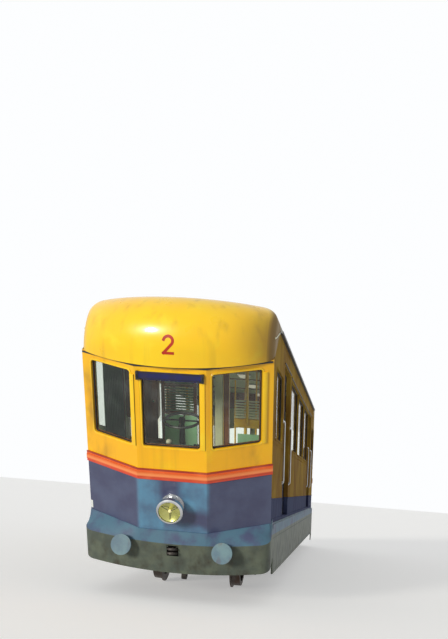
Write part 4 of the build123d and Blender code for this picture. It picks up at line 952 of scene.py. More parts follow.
def pane_rims(node, outwards=True):
    """The rim of every pane of a node, on its outer or its inner face."""
    shape = merged(node, flat=True)
    rims = []
    for face in shape.faces:
        middle = face.calc_center_median()
        way = face.normal.y * middle.y if abs(face.normal.y) > 0.9 else face.normal.dot(LEVEL) * middle.x
        if face.calc_area() > 0.1 and (way > 0) == outwards:
            rims.append(([vert.co.copy() for vert in face.verts], face.normal.copy(), True))
    shape.free()
    return rims


end_rims = pane_rims("end_glass")
side_rims = pane_rims("side_glass")
inner_rims = pane_rims("end_glass", False) + pane_rims("side_glass", False)
print(len(end_rims), "panes in the ends,", len(side_rims), "in the sides")
sweep_piece("window_seals", end_rims + side_rims, rubber, SEAL_WIDTH, SEAL_PROUD,
            ease=0.004, shift=-SEAL_WIDTH / 2)
sweep_piece("inner_window_beads", inner_rims, post_wood, SEAL_WIDTH, SEAL_PROUD,
            ease=0.003, shift=-SEAL_WIDTH / 2)
for door in DOORS:
    sweep_piece(door + "_seal", pane_rims(door + "_glass"), rubber, SEAL_WIDTH,
                DOOR_SEAL_PROUD, door, ease=0.003, shift=-SEAL_WIDTH / 2)

# %% [markdown]
# Every window has a narrow raised frame, painted with the body, around its opening. The panes of the
# ends can be let down, and a broad guide bar stands beside each of them, on the right as one looks at
# the end.

# %% Window frames
FRAME_WIDTH = 0.024
END_FRAME_PROUD = 0.005
SIDE_FRAME_PROUD = 0.007

sweep_piece("end_window_frames", end_rims, dome_paint, FRAME_WIDTH, END_FRAME_PROUD,
            ease=0.004, shift=FRAME_WIDTH / 2, lift=WALL / 2)
sweep_piece("side_window_frames", side_rims, shaded_side_paint, FRAME_WIDTH, SIDE_FRAME_PROUD,
            ease=0.002, shift=FRAME_WIDTH / 2, lift=WALL / 2)

# %% Guide bars of the end windows
SILL = 1.634
HEAD = 2.528
MIDDLE_WINDOW_HALF = 0.325
FACET_WINDOW_HALF = 0.29
FACET_WINDOW_SHIFT = 0.033
GUIDE_PLACES = (
    (-1, FACET_WINDOW_SHIFT + FACET_WINDOW_HALF),
    (0, MIDDLE_WINDOW_HALF),
    (1, -FACET_WINDOW_SHIFT + FACET_WINDOW_HALF),
)
GUIDE_WIDTH = 0.058
GUIDE_PROUD = 0.014
GUIDE_LENGTH = HEAD - SILL - 0.03
GUIDE_GAP = 0.004
GUIDE_SCREWS = (-0.36, 0.0, 0.36)
GUIDE_SCREW = ((0, 0), (0.008, 0), (0.007, 0.003), (0, 0.004))

guides = bmesh.new()
for end, corner, out in ENDS:
    for facet, window_edge in GUIDE_PLACES:
        place = facet_place(corner, out, facet, (SILL + HEAD) / 2 - 0.02)
        aside = window_edge + GUIDE_GAP + GUIDE_WIDTH / 2
        size = (GUIDE_WIDTH, GUIDE_LENGTH, GUIDE_PROUD)
        add_bar(guides, place, size, (aside, 0, GUIDE_PROUD / 2), 0.004)
        for rise in GUIDE_SCREWS:
            add_turned(guides, place, GUIDE_SCREW, 10, (aside, rise, GUIDE_PROUD - 0.001))
shape_piece("window_guides", guides, dome_paint)

# %% [markdown]
# A car of a pair carries its number high on both domes. This one gets a plain 2, drawn with a broad
# brush: its strokes are a flat shape of even width that is laid on the dome along level lines, so it
# follows the dome's curve and reads straight from the front.

# %% Surfaces to lay things on


def surface_of(node):
    """A tree for finding where a line meets a node of the construction."""
    mesh = frame["nodes"][node].data
    corners = [vert.co for vert in mesh.vertices]
    return BVHTree.FromPolygons(corners, [tuple(face.vertices) for face in mesh.polygons])


def traced(surface, starts, way):
    """The open line where rays from a row of starts meet a surface, with its ways out."""
    line, ways = [], []
    for start in starts:
        hit, normal = surface.ray_cast(start, way)[:2]
        if hit:
            line.append(hit)
            ways.append(-normal if normal.dot(way) > 0 else normal)
    return line, ways, False


dome_surfaces = {end: surface_of(f"{end}_dome") for end, corner, out in ENDS}
print("surfaces of both domes:", ", ".join(dome_surfaces))

# %% Strokes of the number
NUMBER_TALL = 0.215
NUMBER_WIDE = 0.132
STROKE = 0.031
ARC_POINTS = 16
ARC_START = 165
ARC_TURN = 205
SLOPE_POINTS = 6
FOOT_POINTS = 4


def number_strokes():
    """The middle line of a 2, in the plane of the dome's front, from its hook round to its foot."""
    radius = (NUMBER_WIDE - STROKE) / 2
    top = NUMBER_TALL / 2 - STROKE / 2 - radius
    turns = [math.radians(ARC_START - ARC_TURN * n / ARC_POINTS) for n in range(ARC_POINTS + 1)]
    bow = [(radius * math.cos(t), top + radius * math.sin(t)) for t in turns]
    (bow_x, bow_y), foot_y = bow[-1], -(NUMBER_TALL - STROKE) / 2
    slope = [(bow_x + (-radius - bow_x) * n / SLOPE_POINTS, bow_y + (foot_y - bow_y) * n / SLOPE_POINTS)
             for n in range(1, SLOPE_POINTS + 1)]
    foot = [(-radius + 2 * radius * n / FOOT_POINTS, foot_y) for n in range(1, FOOT_POINTS + 1)]
    return bow + slope, [slope[-1]] + foot


def brush_edges(stroke, n):
    """The left edge, middle and right edge of a stroke at one of its points."""
    before = Vector(stroke[max(n - 1, 0)])
    after = Vector(stroke[min(n + 1, len(stroke) - 1)])
    tangent = (after - before).normalized()
    point = Vector(stroke[n])
    if n in (0, len(stroke) - 1):
        point += tangent * (STROKE / 2 if n else -STROKE / 2)
    aside = Vector((-tangent.y, tangent.x)) * (STROKE / 2)
    return [point + aside * share for share in (-1, 0, 1)]


print("strokes of", [len(stroke) for stroke in number_strokes()], "points")

# %% [markdown]
# A ray along the track finds the dome behind each point of a stroke, and the paint stands out from it
# by its own thickness, so that it can't flicker through the yellow.

# %% Numbers on the domes
NUMBER_HEIGHT = 2.876
PAINT_THICK = 0.0015

numbers = bmesh.new()
for end, corner, out in ENDS:
    for stroke in number_strokes():
        rows = []
        for n in range(len(stroke)):
            rows.append([])
            for flat in brush_edges(stroke, n):
                start = end_point(corner, out, 2, flat.x * out, NUMBER_HEIGHT + flat.y)
                hit, normal = dome_surfaces[end].ray_cast(start, LEVEL * -out)[:2]
                rows[-1].append(numbers.verts.new(hit + normal * PAINT_THICK))
        for first, second in zip(rows, rows[1:]):
            for n in (0, 1):
                numbers.faces.new((first[n], first[n + 1], second[n + 1], second[n]))
number_red = worn_finish("number_red", (188, 44, 18), (172, 36, 14), 0.4, grime=0.08)
shape_piece("dome_numbers", numbers, number_red)

# %% [markdown]
# The headlamp is a drum with a polished rim. Its lens is a low dome that carries upright flutes to
# spread the beam, and it stands for the flat pane of the construction. Rings of many corners carry
# the flutes: each corner is raised or sunk by a wave that runs across the lens.

# %% Lens of the headlamps
LENS_RADIUS = 0.128
LENS_RISE = 0.012
LENS_SUNK = 0.012
LENS_RINGS = 8
LENS_SIDES = 96
FLUTES = 20
FLUTE_DEPTH = 0.0012


def lens_ring(share):
    """The corners of the lens on a ring that is a share of its radius, rippled but for the rim."""
    corners = []
    for n in range(LENS_SIDES if share else 1):
        turn = 2 * math.pi * n / LENS_SIDES
        x, y = LENS_RADIUS * share * math.cos(turn), LENS_RADIUS * share * math.sin(turn)
        ripple = FLUTE_DEPTH * math.cos(math.pi * FLUTES * x / LENS_RADIUS) if share < 1 else 0
        corners.append(Vector((x, y, LENS_RISE * (1 - share ** 2) - LENS_SUNK + ripple)))
    return corners


print("lens of", LENS_RINGS, "rings, its middle at", round(lens_ring(0)[0].z, 4))

# %% [markdown]
# Behind the lens sit a shallow reflector and a bulb that is held by three arms. Bowl and bulb are
# turned from profiles on a placement at the mouth of the drum, and the foot of the drum has six bolts.

# %% Headlamps
LAMP_HEIGHT = 0.915
LAMP_REACH = 0.19
BOWL_BACK = -0.056
BOWL_DEPTH = 0.036
BOWL_STEPS = 8
BULB_RADIUS = 0.02
BULB_MIDDLE = -0.036
ARM_WIDTH = 0.006
ARM_THICK = 0.004
LAMP_BOLT_CIRCLE = 0.12


def light_up(finish, colour, strength):
    """Lets a finish glow a little, as a lamp seems to by day."""
    shader = finish.node_tree.nodes["Principled BSDF"]
    shader.inputs["Emission Color"].default_value = colour
    shader.inputs["Emission Strength"].default_value = strength


reflectors, bulbs, bulb_arms, lenses = (bmesh.new() for n in range(4))
lamp_bolts = []
bowl = [(0.016 + (LENS_RADIUS - 0.018) * n / BOWL_STEPS, BOWL_BACK + BOWL_DEPTH * (n / BOWL_STEPS) ** 2)
        for n in range(BOWL_STEPS + 1)]
bowl_back = [(radius + 0.001, rise - 0.002) for radius, rise in reversed(bowl)]
globe = [(BULB_RADIUS * math.sin(math.pi * n / 8), BULB_MIDDLE + BULB_RADIUS * math.cos(math.pi * n / 8))
         for n in range(1, 7)]
for end, corner, out in ENDS:
    place = facet_place(corner, out, 0, LAMP_HEIGHT, LAMP_REACH)
    add_turned(reflectors, place, [(0, BOWL_BACK)] + bowl + bowl_back + [(0, BOWL_BACK - 0.002)], 48)
    add_turned(bulbs, place, [(0, -0.016)] + globe + [(0.011, -0.055), (0, -0.055)], 20)
    for turn in (30, 150, 270):
        arm = place @ Matrix.Rotation(math.radians(turn), 4, "Z")
        size = (LENS_RADIUS - 0.026, ARM_WIDTH, ARM_THICK)
        add_bar(bulb_arms, arm, size, ((LENS_RADIUS + 0.014) / 2, 0, -0.03), 0.001)
    rings = [[lenses.verts.new(place @ point) for point in lens_ring(n / LENS_RINGS)]
             for n in range(LENS_RINGS + 1)]
    for inner, outer in zip(rings, rings[1:]):
        join_rings(lenses, inner, outer, LENS_SIDES)
    foot = place @ Vector((0, 0, 0.012 - LAMP_REACH))
    lamp_bolts.append(ring_line(foot, place.col[2].to_3d(), LAMP_BOLT_CIRCLE))
bulb_glass = worn_finish("bulb_glass", (255, 250, 200), (250, 240, 170), 0.25, grime=0.0)
light_up(bulb_glass, (1, 0.9, 0.6, 1), 0.25)
mirror_silver = worn_finish("mirror_silver", (206, 206, 140), (182, 184, 112), 0.24, 1.0, 0.12,
                            relief=0.0001)
shape_piece("lamp_reflectors", reflectors, mirror_silver)
shape_piece("lamp_bulbs", bulbs, bulb_glass)
shape_piece("bulb_arms", bulb_arms, trim_paint)
lens_piece = shape_piece("lamp_lenses", lenses, lens_glass, crease=60)
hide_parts("headlamp_lenses")
bolt_rings("lamp_bolts", lamp_bolts, LAMP_BOLT_CIRCLE, 0.008, 0.006)

# %% [markdown]
# Under the lip of each dome runs a dark strip that follows the three facets; its dark paint is painted
# shadow under the brow. Its ways out turn from facet to facet, so at a corner the strip gets the mean
# of its two neighbours.
# from facet to facet, so at a corner the strip gets the mean of its two neighbours.

# %% Dark strips under the domes, painted shadow
LIP_HEIGHT = 2.604
LIP_END = 0.02

lip_shadow_lines = []
for end, corner, out in ENDS:
    left, middle, right = [facet_place(corner, out, facet, 1.0).col[2].to_3d() for facet in (-1, 0, 1)]
    bends = [left, (left + middle).normalized(), (middle + right).normalized(), right]
    line = [end_point(corner, out, depth, aside * out, LIP_HEIGHT)
            for depth, aside in ((0, -HALF), (PROW_DEPTH, -FACET_HALF), (PROW_DEPTH, FACET_HALF), (0, HALF))]
    line[0], line[3] = line[0].lerp(line[1], LIP_END), line[3].lerp(line[2], LIP_END)
    lip_shadow_lines.append((line, bends, False))
sweep_piece("dome_lip_shadow_strips", lip_shadow_lines, trim_paint, 0.02, 0.016, ease=0.004)

# %% [markdown]
# The blind board over the middle window hangs in two cranked brackets with a wing nut each. Its face
# is left blank: a car with no line number to show runs like that.

# %% Board brackets
BOARD_HALF = 0.36
BOARD_MIDDLE = 2.492
BOARD_FACE = 0.026
BEAD_RISES = (0.036, -0.03)
WING_NUT = ((0, 0), (0.009, 0), (0.009, 0.008), (0.004, 0.012), (0, 0.012))

board_trim = bmesh.new()
for end, corner, out in ENDS:
    place = facet_place(corner, out, 0, BOARD_MIDDLE)
    for hand in (1, -1):
        post = hand * (BOARD_HALF + 0.005)
        add_bar(board_trim, place, (0.03, 0.1, 0.034), (post, 0, 0.017), 0.003)
        add_bar(board_trim, place, (0.05, 0.014, 0.006), (hand * (BOARD_HALF - 0.02), -0.038, 0.033), 0.002)
        nut = place @ Matrix.Translation((post, 0.0, 0.034))
        add_turned(board_trim, nut, WING_NUT, 12)
        add_bar(board_trim, nut, (0.006, 0.034, 0.01), (0, 0, 0.009), 0.002)
    for rise in BEAD_RISES:
        add_bar(board_trim, place, (2 * BOARD_HALF - 0.03, 0.006, 0.004), (0, rise, BOARD_FACE), 0.001)
shape_piece("board_brackets", board_trim, trim_paint)

# %% [markdown]
# Where the trim inside stands is read from the construction. Its nodes are cut into their separate
# solids, each measured in level coordinates, so that a bench or a tread gives its own length, foot
# and edge, and nothing has to be typed twice.

# %% Solids and floor of the construction
CAB_FLOOR = 0.754
TREAD_AREA = 0.1


def to_level(point):
    """A frame point in level coordinates."""
    apart = point - level_point(0, 0, 0)
    return Vector((apart.dot(LEVEL), apart.y, apart.dot(PLUMB)))


def box_of(points):
    """The low and the high corner of the box around points."""
    return tuple(Vector(pick(point[axis] for point in points) for axis in range(3)) for pick in (min, max))


def solids_of(node, measure=to_level):
    """The boxes of the separate solids of a node, in level or other coordinates, sorted."""
    shape = merged(node)
    left = set(shape.verts)
    boxes = []
    while left:
        wave, seen = [left.pop()], []
        while wave:
            vert = wave.pop()
            seen.append(Vector(measure(vert.co)))
            near = [edge.other_vert(vert) for edge in vert.link_edges]
            near = [other for other in near if other in left]
            left.difference_update(near)
            wave += near
        boxes.append(box_of(seen))
    shape.free()
    return sorted(boxes, key=lambda box: box[0][:])


def level_faces(node, area):
    """The boxes of the large upward level faces of a node, in level coordinates, downhill."""
    shape = merged(node, flat=True)
    boxes = [box_of([to_level(vert.co) for vert in face.verts]) for face in shape.faces
             if face.normal.dot(PLUMB) > 0.99 and face.calc_area() > area]
    shape.free()
    return sorted(boxes, key=lambda box: -box[0].x)


floor_surface = surface_of("stepped_floor")


def cab_floor(corner, out):
    """The level height of the cab floor at an end."""
    hit = floor_surface.ray_cast(slant_point(corner - out * PROW_DEPTH, 0.0, 2.4), -PLUMB)[0]
    return to_level(hit).z


benches = solids_of("benches")
treads = level_faces("stepped_floor", TREAD_AREA)
print(len(benches), "benches", len(treads), "treads; cab floor at", round(cab_floor(0.0, 1), 3))

# %% [markdown]
# The driver sees the wall behind them only in glimpses, but the photograph looks straight at it: a
# tall locker over a plain panel, and beside it a sliding leaf, panels and posts. All stand on
# one placement on the face of the partition, so the downhill cab gets them by turning it about.

# %% Lockers behind the driver
PARTITION_FACE = 1.32
LOCKER_Y = -0.745
LOCKER_DOORS = (1.53, 2.07)
LOCKER_KNOB = ((0, 0), (0.006, 0), (0.006, 0.012), (0.014, 0.018), (0.014, 0.026), (0, 0.03))


def behind_driver(corner, out):
    """A placement on the face of a cab partition, with heights counted as at the uphill end."""
    origin = level_point(corner - out * PARTITION_FACE, 0, cab_floor(corner, out) - CAB_FLOOR)
    return placement(origin, ACROSS * out, PLUMB, LEVEL * out)


lockers, locker_knobs = (bmesh.new() for n in range(2))
for end, corner, out in ENDS:
    place = behind_driver(corner, out)
    add_bar(lockers, place, (0.43, 1.08, 0.13), (LOCKER_Y, 1.8, 0.066), 0.006)
    add_bar(lockers, place, (0.33, 0.42, 0.01), (LOCKER_Y + 0.015, 1.045, 0.007), 0.003)
    for z in LOCKER_DOORS:
        add_bar(lockers, place, (0.39, 0.5, 0.014), (LOCKER_Y, z, 0.137), 0.004)
        add_bar(lockers, place, (0.27, 0.38, 0.006), (LOCKER_Y, z, 0.146), 0.003)
        add_turned(locker_knobs, place, LOCKER_KNOB, 16, (LOCKER_Y + 0.17, z, 0.144))
shape_piece("cab_lockers", lockers, post_wood)
shape_piece("locker_knobs", locker_knobs, chrome)

# %% [markdown]
# The leaf stands half across the doorway to the saloon, with a louvre over a pale green panel. To its
# right are a cream door post and a yellow rail over another panel. The green of these panels and the
# cream of the posts are lighter than the lining of the walls: painted sunlight from the windows. Each
# louvre is one slat that the sweeping tree repeats.

# %% Joinery behind the driver
LEAF_LEFT = -0.505
LEAF_RIGHT = -0.03
LEAF_FOOT = 0.78
LEAF_SILL = 1.33
LEAF_HEAD = 2.36
LEAF_DEPTH = 0.024
STILE = 0.045
CAB_FOOT = 0.76
CAB_HEAD = 2.42
RAIL_HEIGHT = 1.235
CREAM_POSTS = ((0.262, 0.1, 0.055), (0.98, 0.05, 0.03), (-0.98, 0.05, 0.03))
LOUVRE_PITCH = 0.038
LOUVRE_DEPTH = 0.022
LOUVRES = ((LEAF_SILL + 0.03, 1.69), (1.75, LEAF_HEAD - 0.05))
SIDE_SLATS = 7

leaf_frames, green_panels, cream_posts, yellow_rails = (bmesh.new() for n in range(4))
louvre_lines, side_slats = {}, []
leaf_wide, leaf_middle = LEAF_RIGHT - LEAF_LEFT, (LEAF_LEFT + LEAF_RIGHT) / 2
for end, corner, out in ENDS:
    place = behind_driver(corner, out)
    for y in (LEAF_LEFT + STILE / 2, LEAF_RIGHT - STILE / 2):
        size = (STILE, LEAF_HEAD - LEAF_FOOT, 0.034)
        add_bar(leaf_frames, place, size, (y, (LEAF_HEAD + LEAF_FOOT) / 2, LEAF_DEPTH), 0.004)
    for z in (0.81, LEAF_SILL, 1.72, LEAF_HEAD - STILE / 2):
        add_bar(leaf_frames, place, (leaf_wide, STILE, 0.03), (leaf_middle, z, LEAF_DEPTH), 0.004)
    add_bar(leaf_frames, place, (1.3, 0.06, 0.05), (-0.1, CAB_HEAD - 0.03, 0.027), 0.005)
    add_bar(green_panels, place, (leaf_wide - STILE, LEAF_SILL - 0.85, 0.012),
            (leaf_middle + STILE / 2, (LEAF_SILL + 0.8) / 2, 0.048), 0.004)
    add_bar(green_panels, place, (0.33, 0.2, 0.012), (0.67, 0.975, 0.008), 0.003)
    for y, wide, thick in CREAM_POSTS:
        post_middle = (y, (CAB_FOOT + CAB_HEAD) / 2, thick / 2 + 0.001)
        add_bar(cream_posts, place, (wide, CAB_HEAD - CAB_FOOT, thick), post_middle, 0.006)
    add_bar(yellow_rails, place, (0.37, 0.12, 0.035), (0.645, RAIL_HEIGHT, 0.019), 0.008)
    pole = [place @ Vector((0.635, z, 0.05)) for z in (RAIL_HEIGHT, 1.6, 2.1, CAB_HEAD)]
    add_rod(yellow_rails, pole, 0.018)
    way = (place.col[2].to_3d() * 0.8 + PLUMB * 0.6).normalized()
    slat = [place @ Vector((y, 1.32, LOUVRE_DEPTH)) for y in (0.475, 0.83)]
    side_slats.append((slat, way, False))
    for first, last in LOUVRES:
        slat = [place @ Vector((y, first, LOUVRE_DEPTH)) for y in (LEAF_LEFT + STILE, LEAF_RIGHT - STILE)]
        louvre_lines.setdefault(int((last - first) / LOUVRE_PITCH) + 1, []).append((slat, way, False))
louvre_wood = worn_finish("louvre_wood", (104, 132, 96), (80, 104, 76), 0.45, grime=0.25)
shape_piece("cab_door_frames", leaf_frames, post_wood)
shape_piece("cab_panels", green_panels, sunlit_panel_green)
shape_piece("cab_posts", cream_posts, sunlit_cream)
shape_piece("cab_rails", yellow_rails, pole_paint)
for count, lines in sorted(louvre_lines.items()):
    sweep_piece(f"cab_louvres_{count}", lines, louvre_wood, 0.026, 0.007, ease=0.002,
                count=count, step=PLUMB * LOUVRE_PITCH)
sweep_piece("cab_side_louvres", side_slats, sunlit_cream, 0.022, 0.006, ease=0.002,
            count=SIDE_SLATS, step=PLUMB * LOUVRE_PITCH)

# %% [markdown]
# A dark curtain on one side of the cab keeps the sun off the driver. It is a sheet in even folds that
# hangs plumb from a rod along the slanted head of the side window. The folds are deep at the free
# lower edge and shallow at the rod, where the rings hold them.

# %% Cab curtains
CURTAIN_FOLDS = 11
FOLD_STEPS = 8
CURTAIN_Y = HALF - WALL - 0.034
CURTAIN_NEAR = 0.44
CURTAIN_WIDE = 0.78
CURTAIN_ROWS = ((1.6, 0.015), (2.1, 0.012), (2.57, 0.008), (2.62, 0.006))
ROD_HEIGHT = 2.625

curtains, curtain_rods = (bmesh.new() for n in range(2))
for end, corner, out in ENDS:
    hand = -out
    columns = []
    for n in range(CURTAIN_FOLDS * FOLD_STEPS + 1):
        share = n / (CURTAIN_FOLDS * FOLD_STEPS)
        x = corner - out * (CURTAIN_NEAR + CURTAIN_WIDE * share)
        fold = math.sin(2 * math.pi * CURTAIN_FOLDS * share)
        columns.append([curtains.verts.new(slant_point(x, hand * (CURTAIN_Y + fold * depth), height))
                        for height, depth in CURTAIN_ROWS])
    for first, second in zip(columns, columns[1:]):
        for n in range(len(CURTAIN_ROWS) - 1):
            curtains.faces.new((first[n], second[n], second[n + 1], first[n + 1]))
    rod = [slant_point(corner - out * x, hand * CURTAIN_Y, ROD_HEIGHT) for x in (0.22, 0.7, 1.25)]
    add_rod(curtain_rods, rod, 0.006)
    for x in (0.24, 1.23):
        foot = slant_point(corner - out * x, hand * (HALF - WALL), ROD_HEIGHT)
        bracket = placement(foot, LEVEL * hand, PLUMB, ACROSS * -hand)
        add_bar(curtain_rods, bracket, (0.014, 0.03, 0.046), (0, 0, 0.023), 0.003)
curtain_cloth = worn_finish("curtain_cloth", (54, 84, 62), (42, 66, 50), 0.85, grime=0.15, scale=4.0)
bmesh.ops.solidify(curtains, geom=curtains.faces[:], thickness=0.002)
shape_piece("cab_curtains", curtains, curtain_cloth, crease=60)
shape_piece("curtain_rods", curtain_rods, chrome)

# %% [markdown]
# The driver has two round gauges, a row of switches and a controller handle on the desk. Beside the
# column of the brake wheel a lever for the rail brake rises from a pivot bracket on the floor, with a
# cream ball for the hand. Turned shapes make most of it, each from a profile of radius and rise.

# %% Driver's desk
DESK_TOP = 0.76
DESK_X = 0.13
GAUGES_Y = (-0.19, -0.06)
GAUGE_TILT = math.radians(-55)
GAUGE = ((0, -0.03), (0.045, -0.03), (0.052, 0), (0.052, 0.028), (0.046, 0.03), (0.044, 0.024), (0, 0.024))
GAUGE_FACE = ((0, 0.0245), (0.043, 0.0245), (0.043, 0.0255), (0, 0.0255))
SWITCHES = 5
SWITCH_PITCH = 0.035
SWITCH = ((0, 0), (0.011, 0), (0.011, 0.006), (0.004, 0.009), (0.004, 0.028), (0, 0.03))
CONTROLLER = ((0, 0), (0.055, 0), (0.055, 0.02), (0.02, 0.03), (0.018, 0.06), (0, 0.062))
CONTROLLER_ARM = ((0, 0, 0.05), (0.04, 0.02, 0.055), (0.12, 0.05, 0.055))
CONTROLLER_KNOB = ((0, 0), (0.012, 0.002), (0.02, 0.02), (0.02, 0.034), (0.012, 0.048), (0, 0.052))
LEVER_X = 0.2
LEVER_Y = -0.167
LEVER_BEND = ((0, 0, 0.03), (0, 0.004, 0.2), (0, 0.03, 0.45), (0, 0.04, 0.64))
BALL_RADIUS = 0.036
BALL = [(BALL_RADIUS * math.sin(math.pi * n / 10), -BALL_RADIUS * math.cos(math.pi * n / 10))
        for n in range(1, 10)]

gauges, gauge_faces, desk_trim, knobs = (bmesh.new() for n in range(4))
for end, corner, out in ENDS:
    foot = cab_floor(corner, out)
    axes = ACROSS * out, LEVEL * -out, PLUMB
    desk = placement(level_point(corner + out * DESK_X, 0, foot + DESK_TOP), *axes)
    for aside in GAUGES_Y:
        dial = desk @ Matrix.Translation((aside, -0.06, 0.02)) @ Matrix.Rotation(GAUGE_TILT, 4, "X")
        add_turned(gauges, dial, GAUGE, 32)
        add_turned(gauge_faces, dial, GAUGE_FACE, 32)
        add_bar(desk_trim, dial, (0.004, 0.034, 0.002), (0.004, 0.012, 0.027), 0.0005)
    for n in range(SWITCHES):
        add_turned(desk_trim, desk, SWITCH, 12, (0.04 + n * SWITCH_PITCH, -0.07, -0.004))
    controller = desk @ Matrix.Translation((0.22, 0.03, -0.004))
    add_turned(desk_trim, controller, CONTROLLER, 24)
    add_rod(desk_trim, [controller @ Vector(point) for point in CONTROLLER_ARM], 0.009)
    add_turned(knobs, controller, CONTROLLER_KNOB, 20, (0.12, 0.05, 0.05))
    pivot = placement(level_point(corner - out * LEVER_X, LEVER_Y * out, foot), *axes)
    add_bar(desk_trim, pivot, (0.09, 0.16, 0.012), (0, 0, 0.006), 0.003)
    for aside in (-0.024, 0.024):
        add_bar(desk_trim, pivot, (0.01, 0.07, 0.09), (aside, 0, 0.055), 0.003)
    add_rod(desk_trim, [pivot @ Vector(point) for point in LEVER_BEND], 0.012)
    add_turned(knobs, pivot, [(0, -BALL_RADIUS)] + BALL + [(0, BALL_RADIUS)], 20, (0, 0.04, 0.66))
gauge_cream = worn_finish("gauge_cream", (236, 232, 208), (228, 222, 196), 0.3, grime=0.05)
shape_piece("desk_gauges", gauges, chrome)
shape_piece("gauge_faces", gauge_faces, gauge_cream)
shape_piece("desk_controls", desk_trim, trim_paint)
shape_piece("control_knobs", knobs, gauge_cream)

# %% [markdown]
# The benches are slatted: planed oak strips across the car, with gaps that let rain and sand through.
# The steps have ribbed brass nosings on their downhill edges, where shoes wear them.

# %% Bench slats
SLAT = 0.052
SLAT_THICK = 0.012
SLATS = 5
SLAT_MARGIN = 0.012
SEAT_HEIGHT = 0.44
SEAT_LEAN = 0.136
BACK_LEAN = 0.108
SEAT_REACH = 0.33
BACK_REACH = 0.415
BENCH_THICK = 0.045

slat_lines = []
for low, high in benches:
    seat = low.z + SEAT_HEIGHT
    reach = (low.y + SLAT_MARGIN, high.y - SLAT_MARGIN)
    for n in range(SLATS):
        x = low.x + 0.035 + n * 0.064
        rise = seat + 0.002 + BENCH_THICK * max(0.0, (x - low.x) / SEAT_REACH) * 0.99
        way = (PLUMB - LEVEL * SEAT_LEAN).normalized()
        slat_lines.append(([level_point(x, y, rise) for y in reach], way, False))
    for n in range(SLATS):
        z = seat + 0.11 + n * 0.075
        x = high.x - BENCH_THICK - BENCH_THICK * (1 - (z - seat - BENCH_THICK) / BACK_REACH)
        way = (PLUMB * BACK_LEAN - LEVEL).normalized()
        slat_lines.append(([level_point(x, y, z) for y in reach], way, False))
sweep_piece("bench_slats", slat_lines, slat_wood, SLAT, SLAT_THICK, ease=0.003)

# %% Step nosings
LONGEST_TREAD = 1.6
NOSING_INSET = 0.012
RIB_PITCH = 0.011
RIBS = 3

brass = worn_finish("brass", (196, 156, 84), (160, 122, 60), 0.35, 0.9, 0.4, relief=0.0003)
steps = [(low, high) for low, high in treads if high.x - low.x < LONGEST_TREAD]
for rib in range(RIBS):
    lines = [([level_point(low.x + NOSING_INSET + rib * RIB_PITCH, y, high.z)
               for y in (low.y + 0.02, high.y - 0.02)], PLUMB, False) for low, high in steps]
    sweep_piece(f"step_nosing_{rib}", lines, brass, 0.008, 0.003, ease=0.001)

# %% [markdown]
# Overhead, curved battens cover the joints of the ceiling sheets, and round lamps hang between them.
# Both are laid on the ceiling itself, which a plumb ray finds, so they follow its curve and its slope.

# %% Ceiling
CEILING_LAMPS = 6
CEILING_FIRST = -0.9
CEILING_PITCH = (BODY_LENGTH - 1.8) / CEILING_LAMPS
BATTEN_HALF = 0.96
BATTEN_STEPS = 16
LAMP_RING = ((0, 0), (0.13, 0), (0.13, 0.018), (0.118, 0.026), (0.108, 0.02), (0.108, 0.004), (0, 0.004))
LAMP_BOWL = ((0, 0.006), (0.106, 0.006), (0.106, 0.02), (0.094, 0.05), (0.06, 0.07), (0.02, 0.078),
             (0, 0.079))
roof_surface = surface_of("roof")


def overhead(x, sideways):
    """The line on the ceiling over a row of places across the floor, and its ways down."""
    return traced(roof_surface, [slant_point(x, y, 2.5) for y in sideways], PLUMB)


batten_lines = []
lamp_bowls, lamp_rings = (bmesh.new() for n in range(2))
for n in range(CEILING_LAMPS + 1):
    x = CEILING_FIRST - n * CEILING_PITCH
    across = [-BATTEN_HALF + 2 * BATTEN_HALF / BATTEN_STEPS * k for k in range(BATTEN_STEPS + 1)]
    batten_lines.append(overhead(x, across))
    if n < CEILING_LAMPS:
        (hit,), (way,), closed = overhead(x - CEILING_PITCH / 2, [0.0])
        place = placement(hit, way.cross(ACROSS), ACROSS, way)
        add_turned(lamp_rings, place, LAMP_RING, 32)
        add_turned(lamp_bowls, place, LAMP_BOWL, 32)
lamp_opal = worn_finish("lamp_opal", (250, 246, 226), (242, 236, 210), 0.3, grime=0.05)
light_up(lamp_opal, (1.0, 0.93, 0.78, 1), 0.3)
sweep_piece("ceiling_battens", batten_lines, post_wood, 0.05, 0.016, ease=0.004)
shape_piece("ceiling_lamp_bowls", lamp_bowls, lamp_opal)
shape_piece("ceiling_lamp_rings", lamp_rings, chrome)

# %% [markdown]
# The flat sides are made of sheets, so they are full of edges: cover strips along the colour line and
# under the windows, drip strips over doors and windows, and rows of rivets along all of them. A strip
# is swept along the wall between the doorways, and its rivets follow the same lines.

# %% Strips along the sides
DOOR_NEAR = 1.42
DOOR_FAR = DOOR_NEAR + 0.96
WALL_END = 0.012
WINDOW_STRIP = 1.63
RIVET_PROUD = 0.004
DOORWAYS = ((-DOOR_FAR, -DOOR_NEAR), (DOOR_NEAR - BODY_LENGTH, DOOR_FAR - BODY_LENGTH))
RUNS = ((-WALL_END, -DOOR_NEAR), (-DOOR_FAR, DOOR_FAR - BODY_LENGTH),
        (DOOR_NEAR - BODY_LENGTH, WALL_END - BODY_LENGTH))


def side_lines(height, runs, margin=0.0, proud=0.0):
    """Lines along both sides, parallel to the track, at a plumb height over the base line."""
    lines = []
    for hand in SIDES:
        for first, last in runs:
            near, far = max(first, last) - margin, min(first, last) + margin
            ends = [slant_point(x, hand * (HALF + proud), height) for x in (near, far)]
            lines.append((ends, ACROSS * hand, False))
    return lines


def full_length(inset):
    """One run along the whole body, but for an inset at both ends."""
    return ((-inset, inset - BODY_LENGTH),)


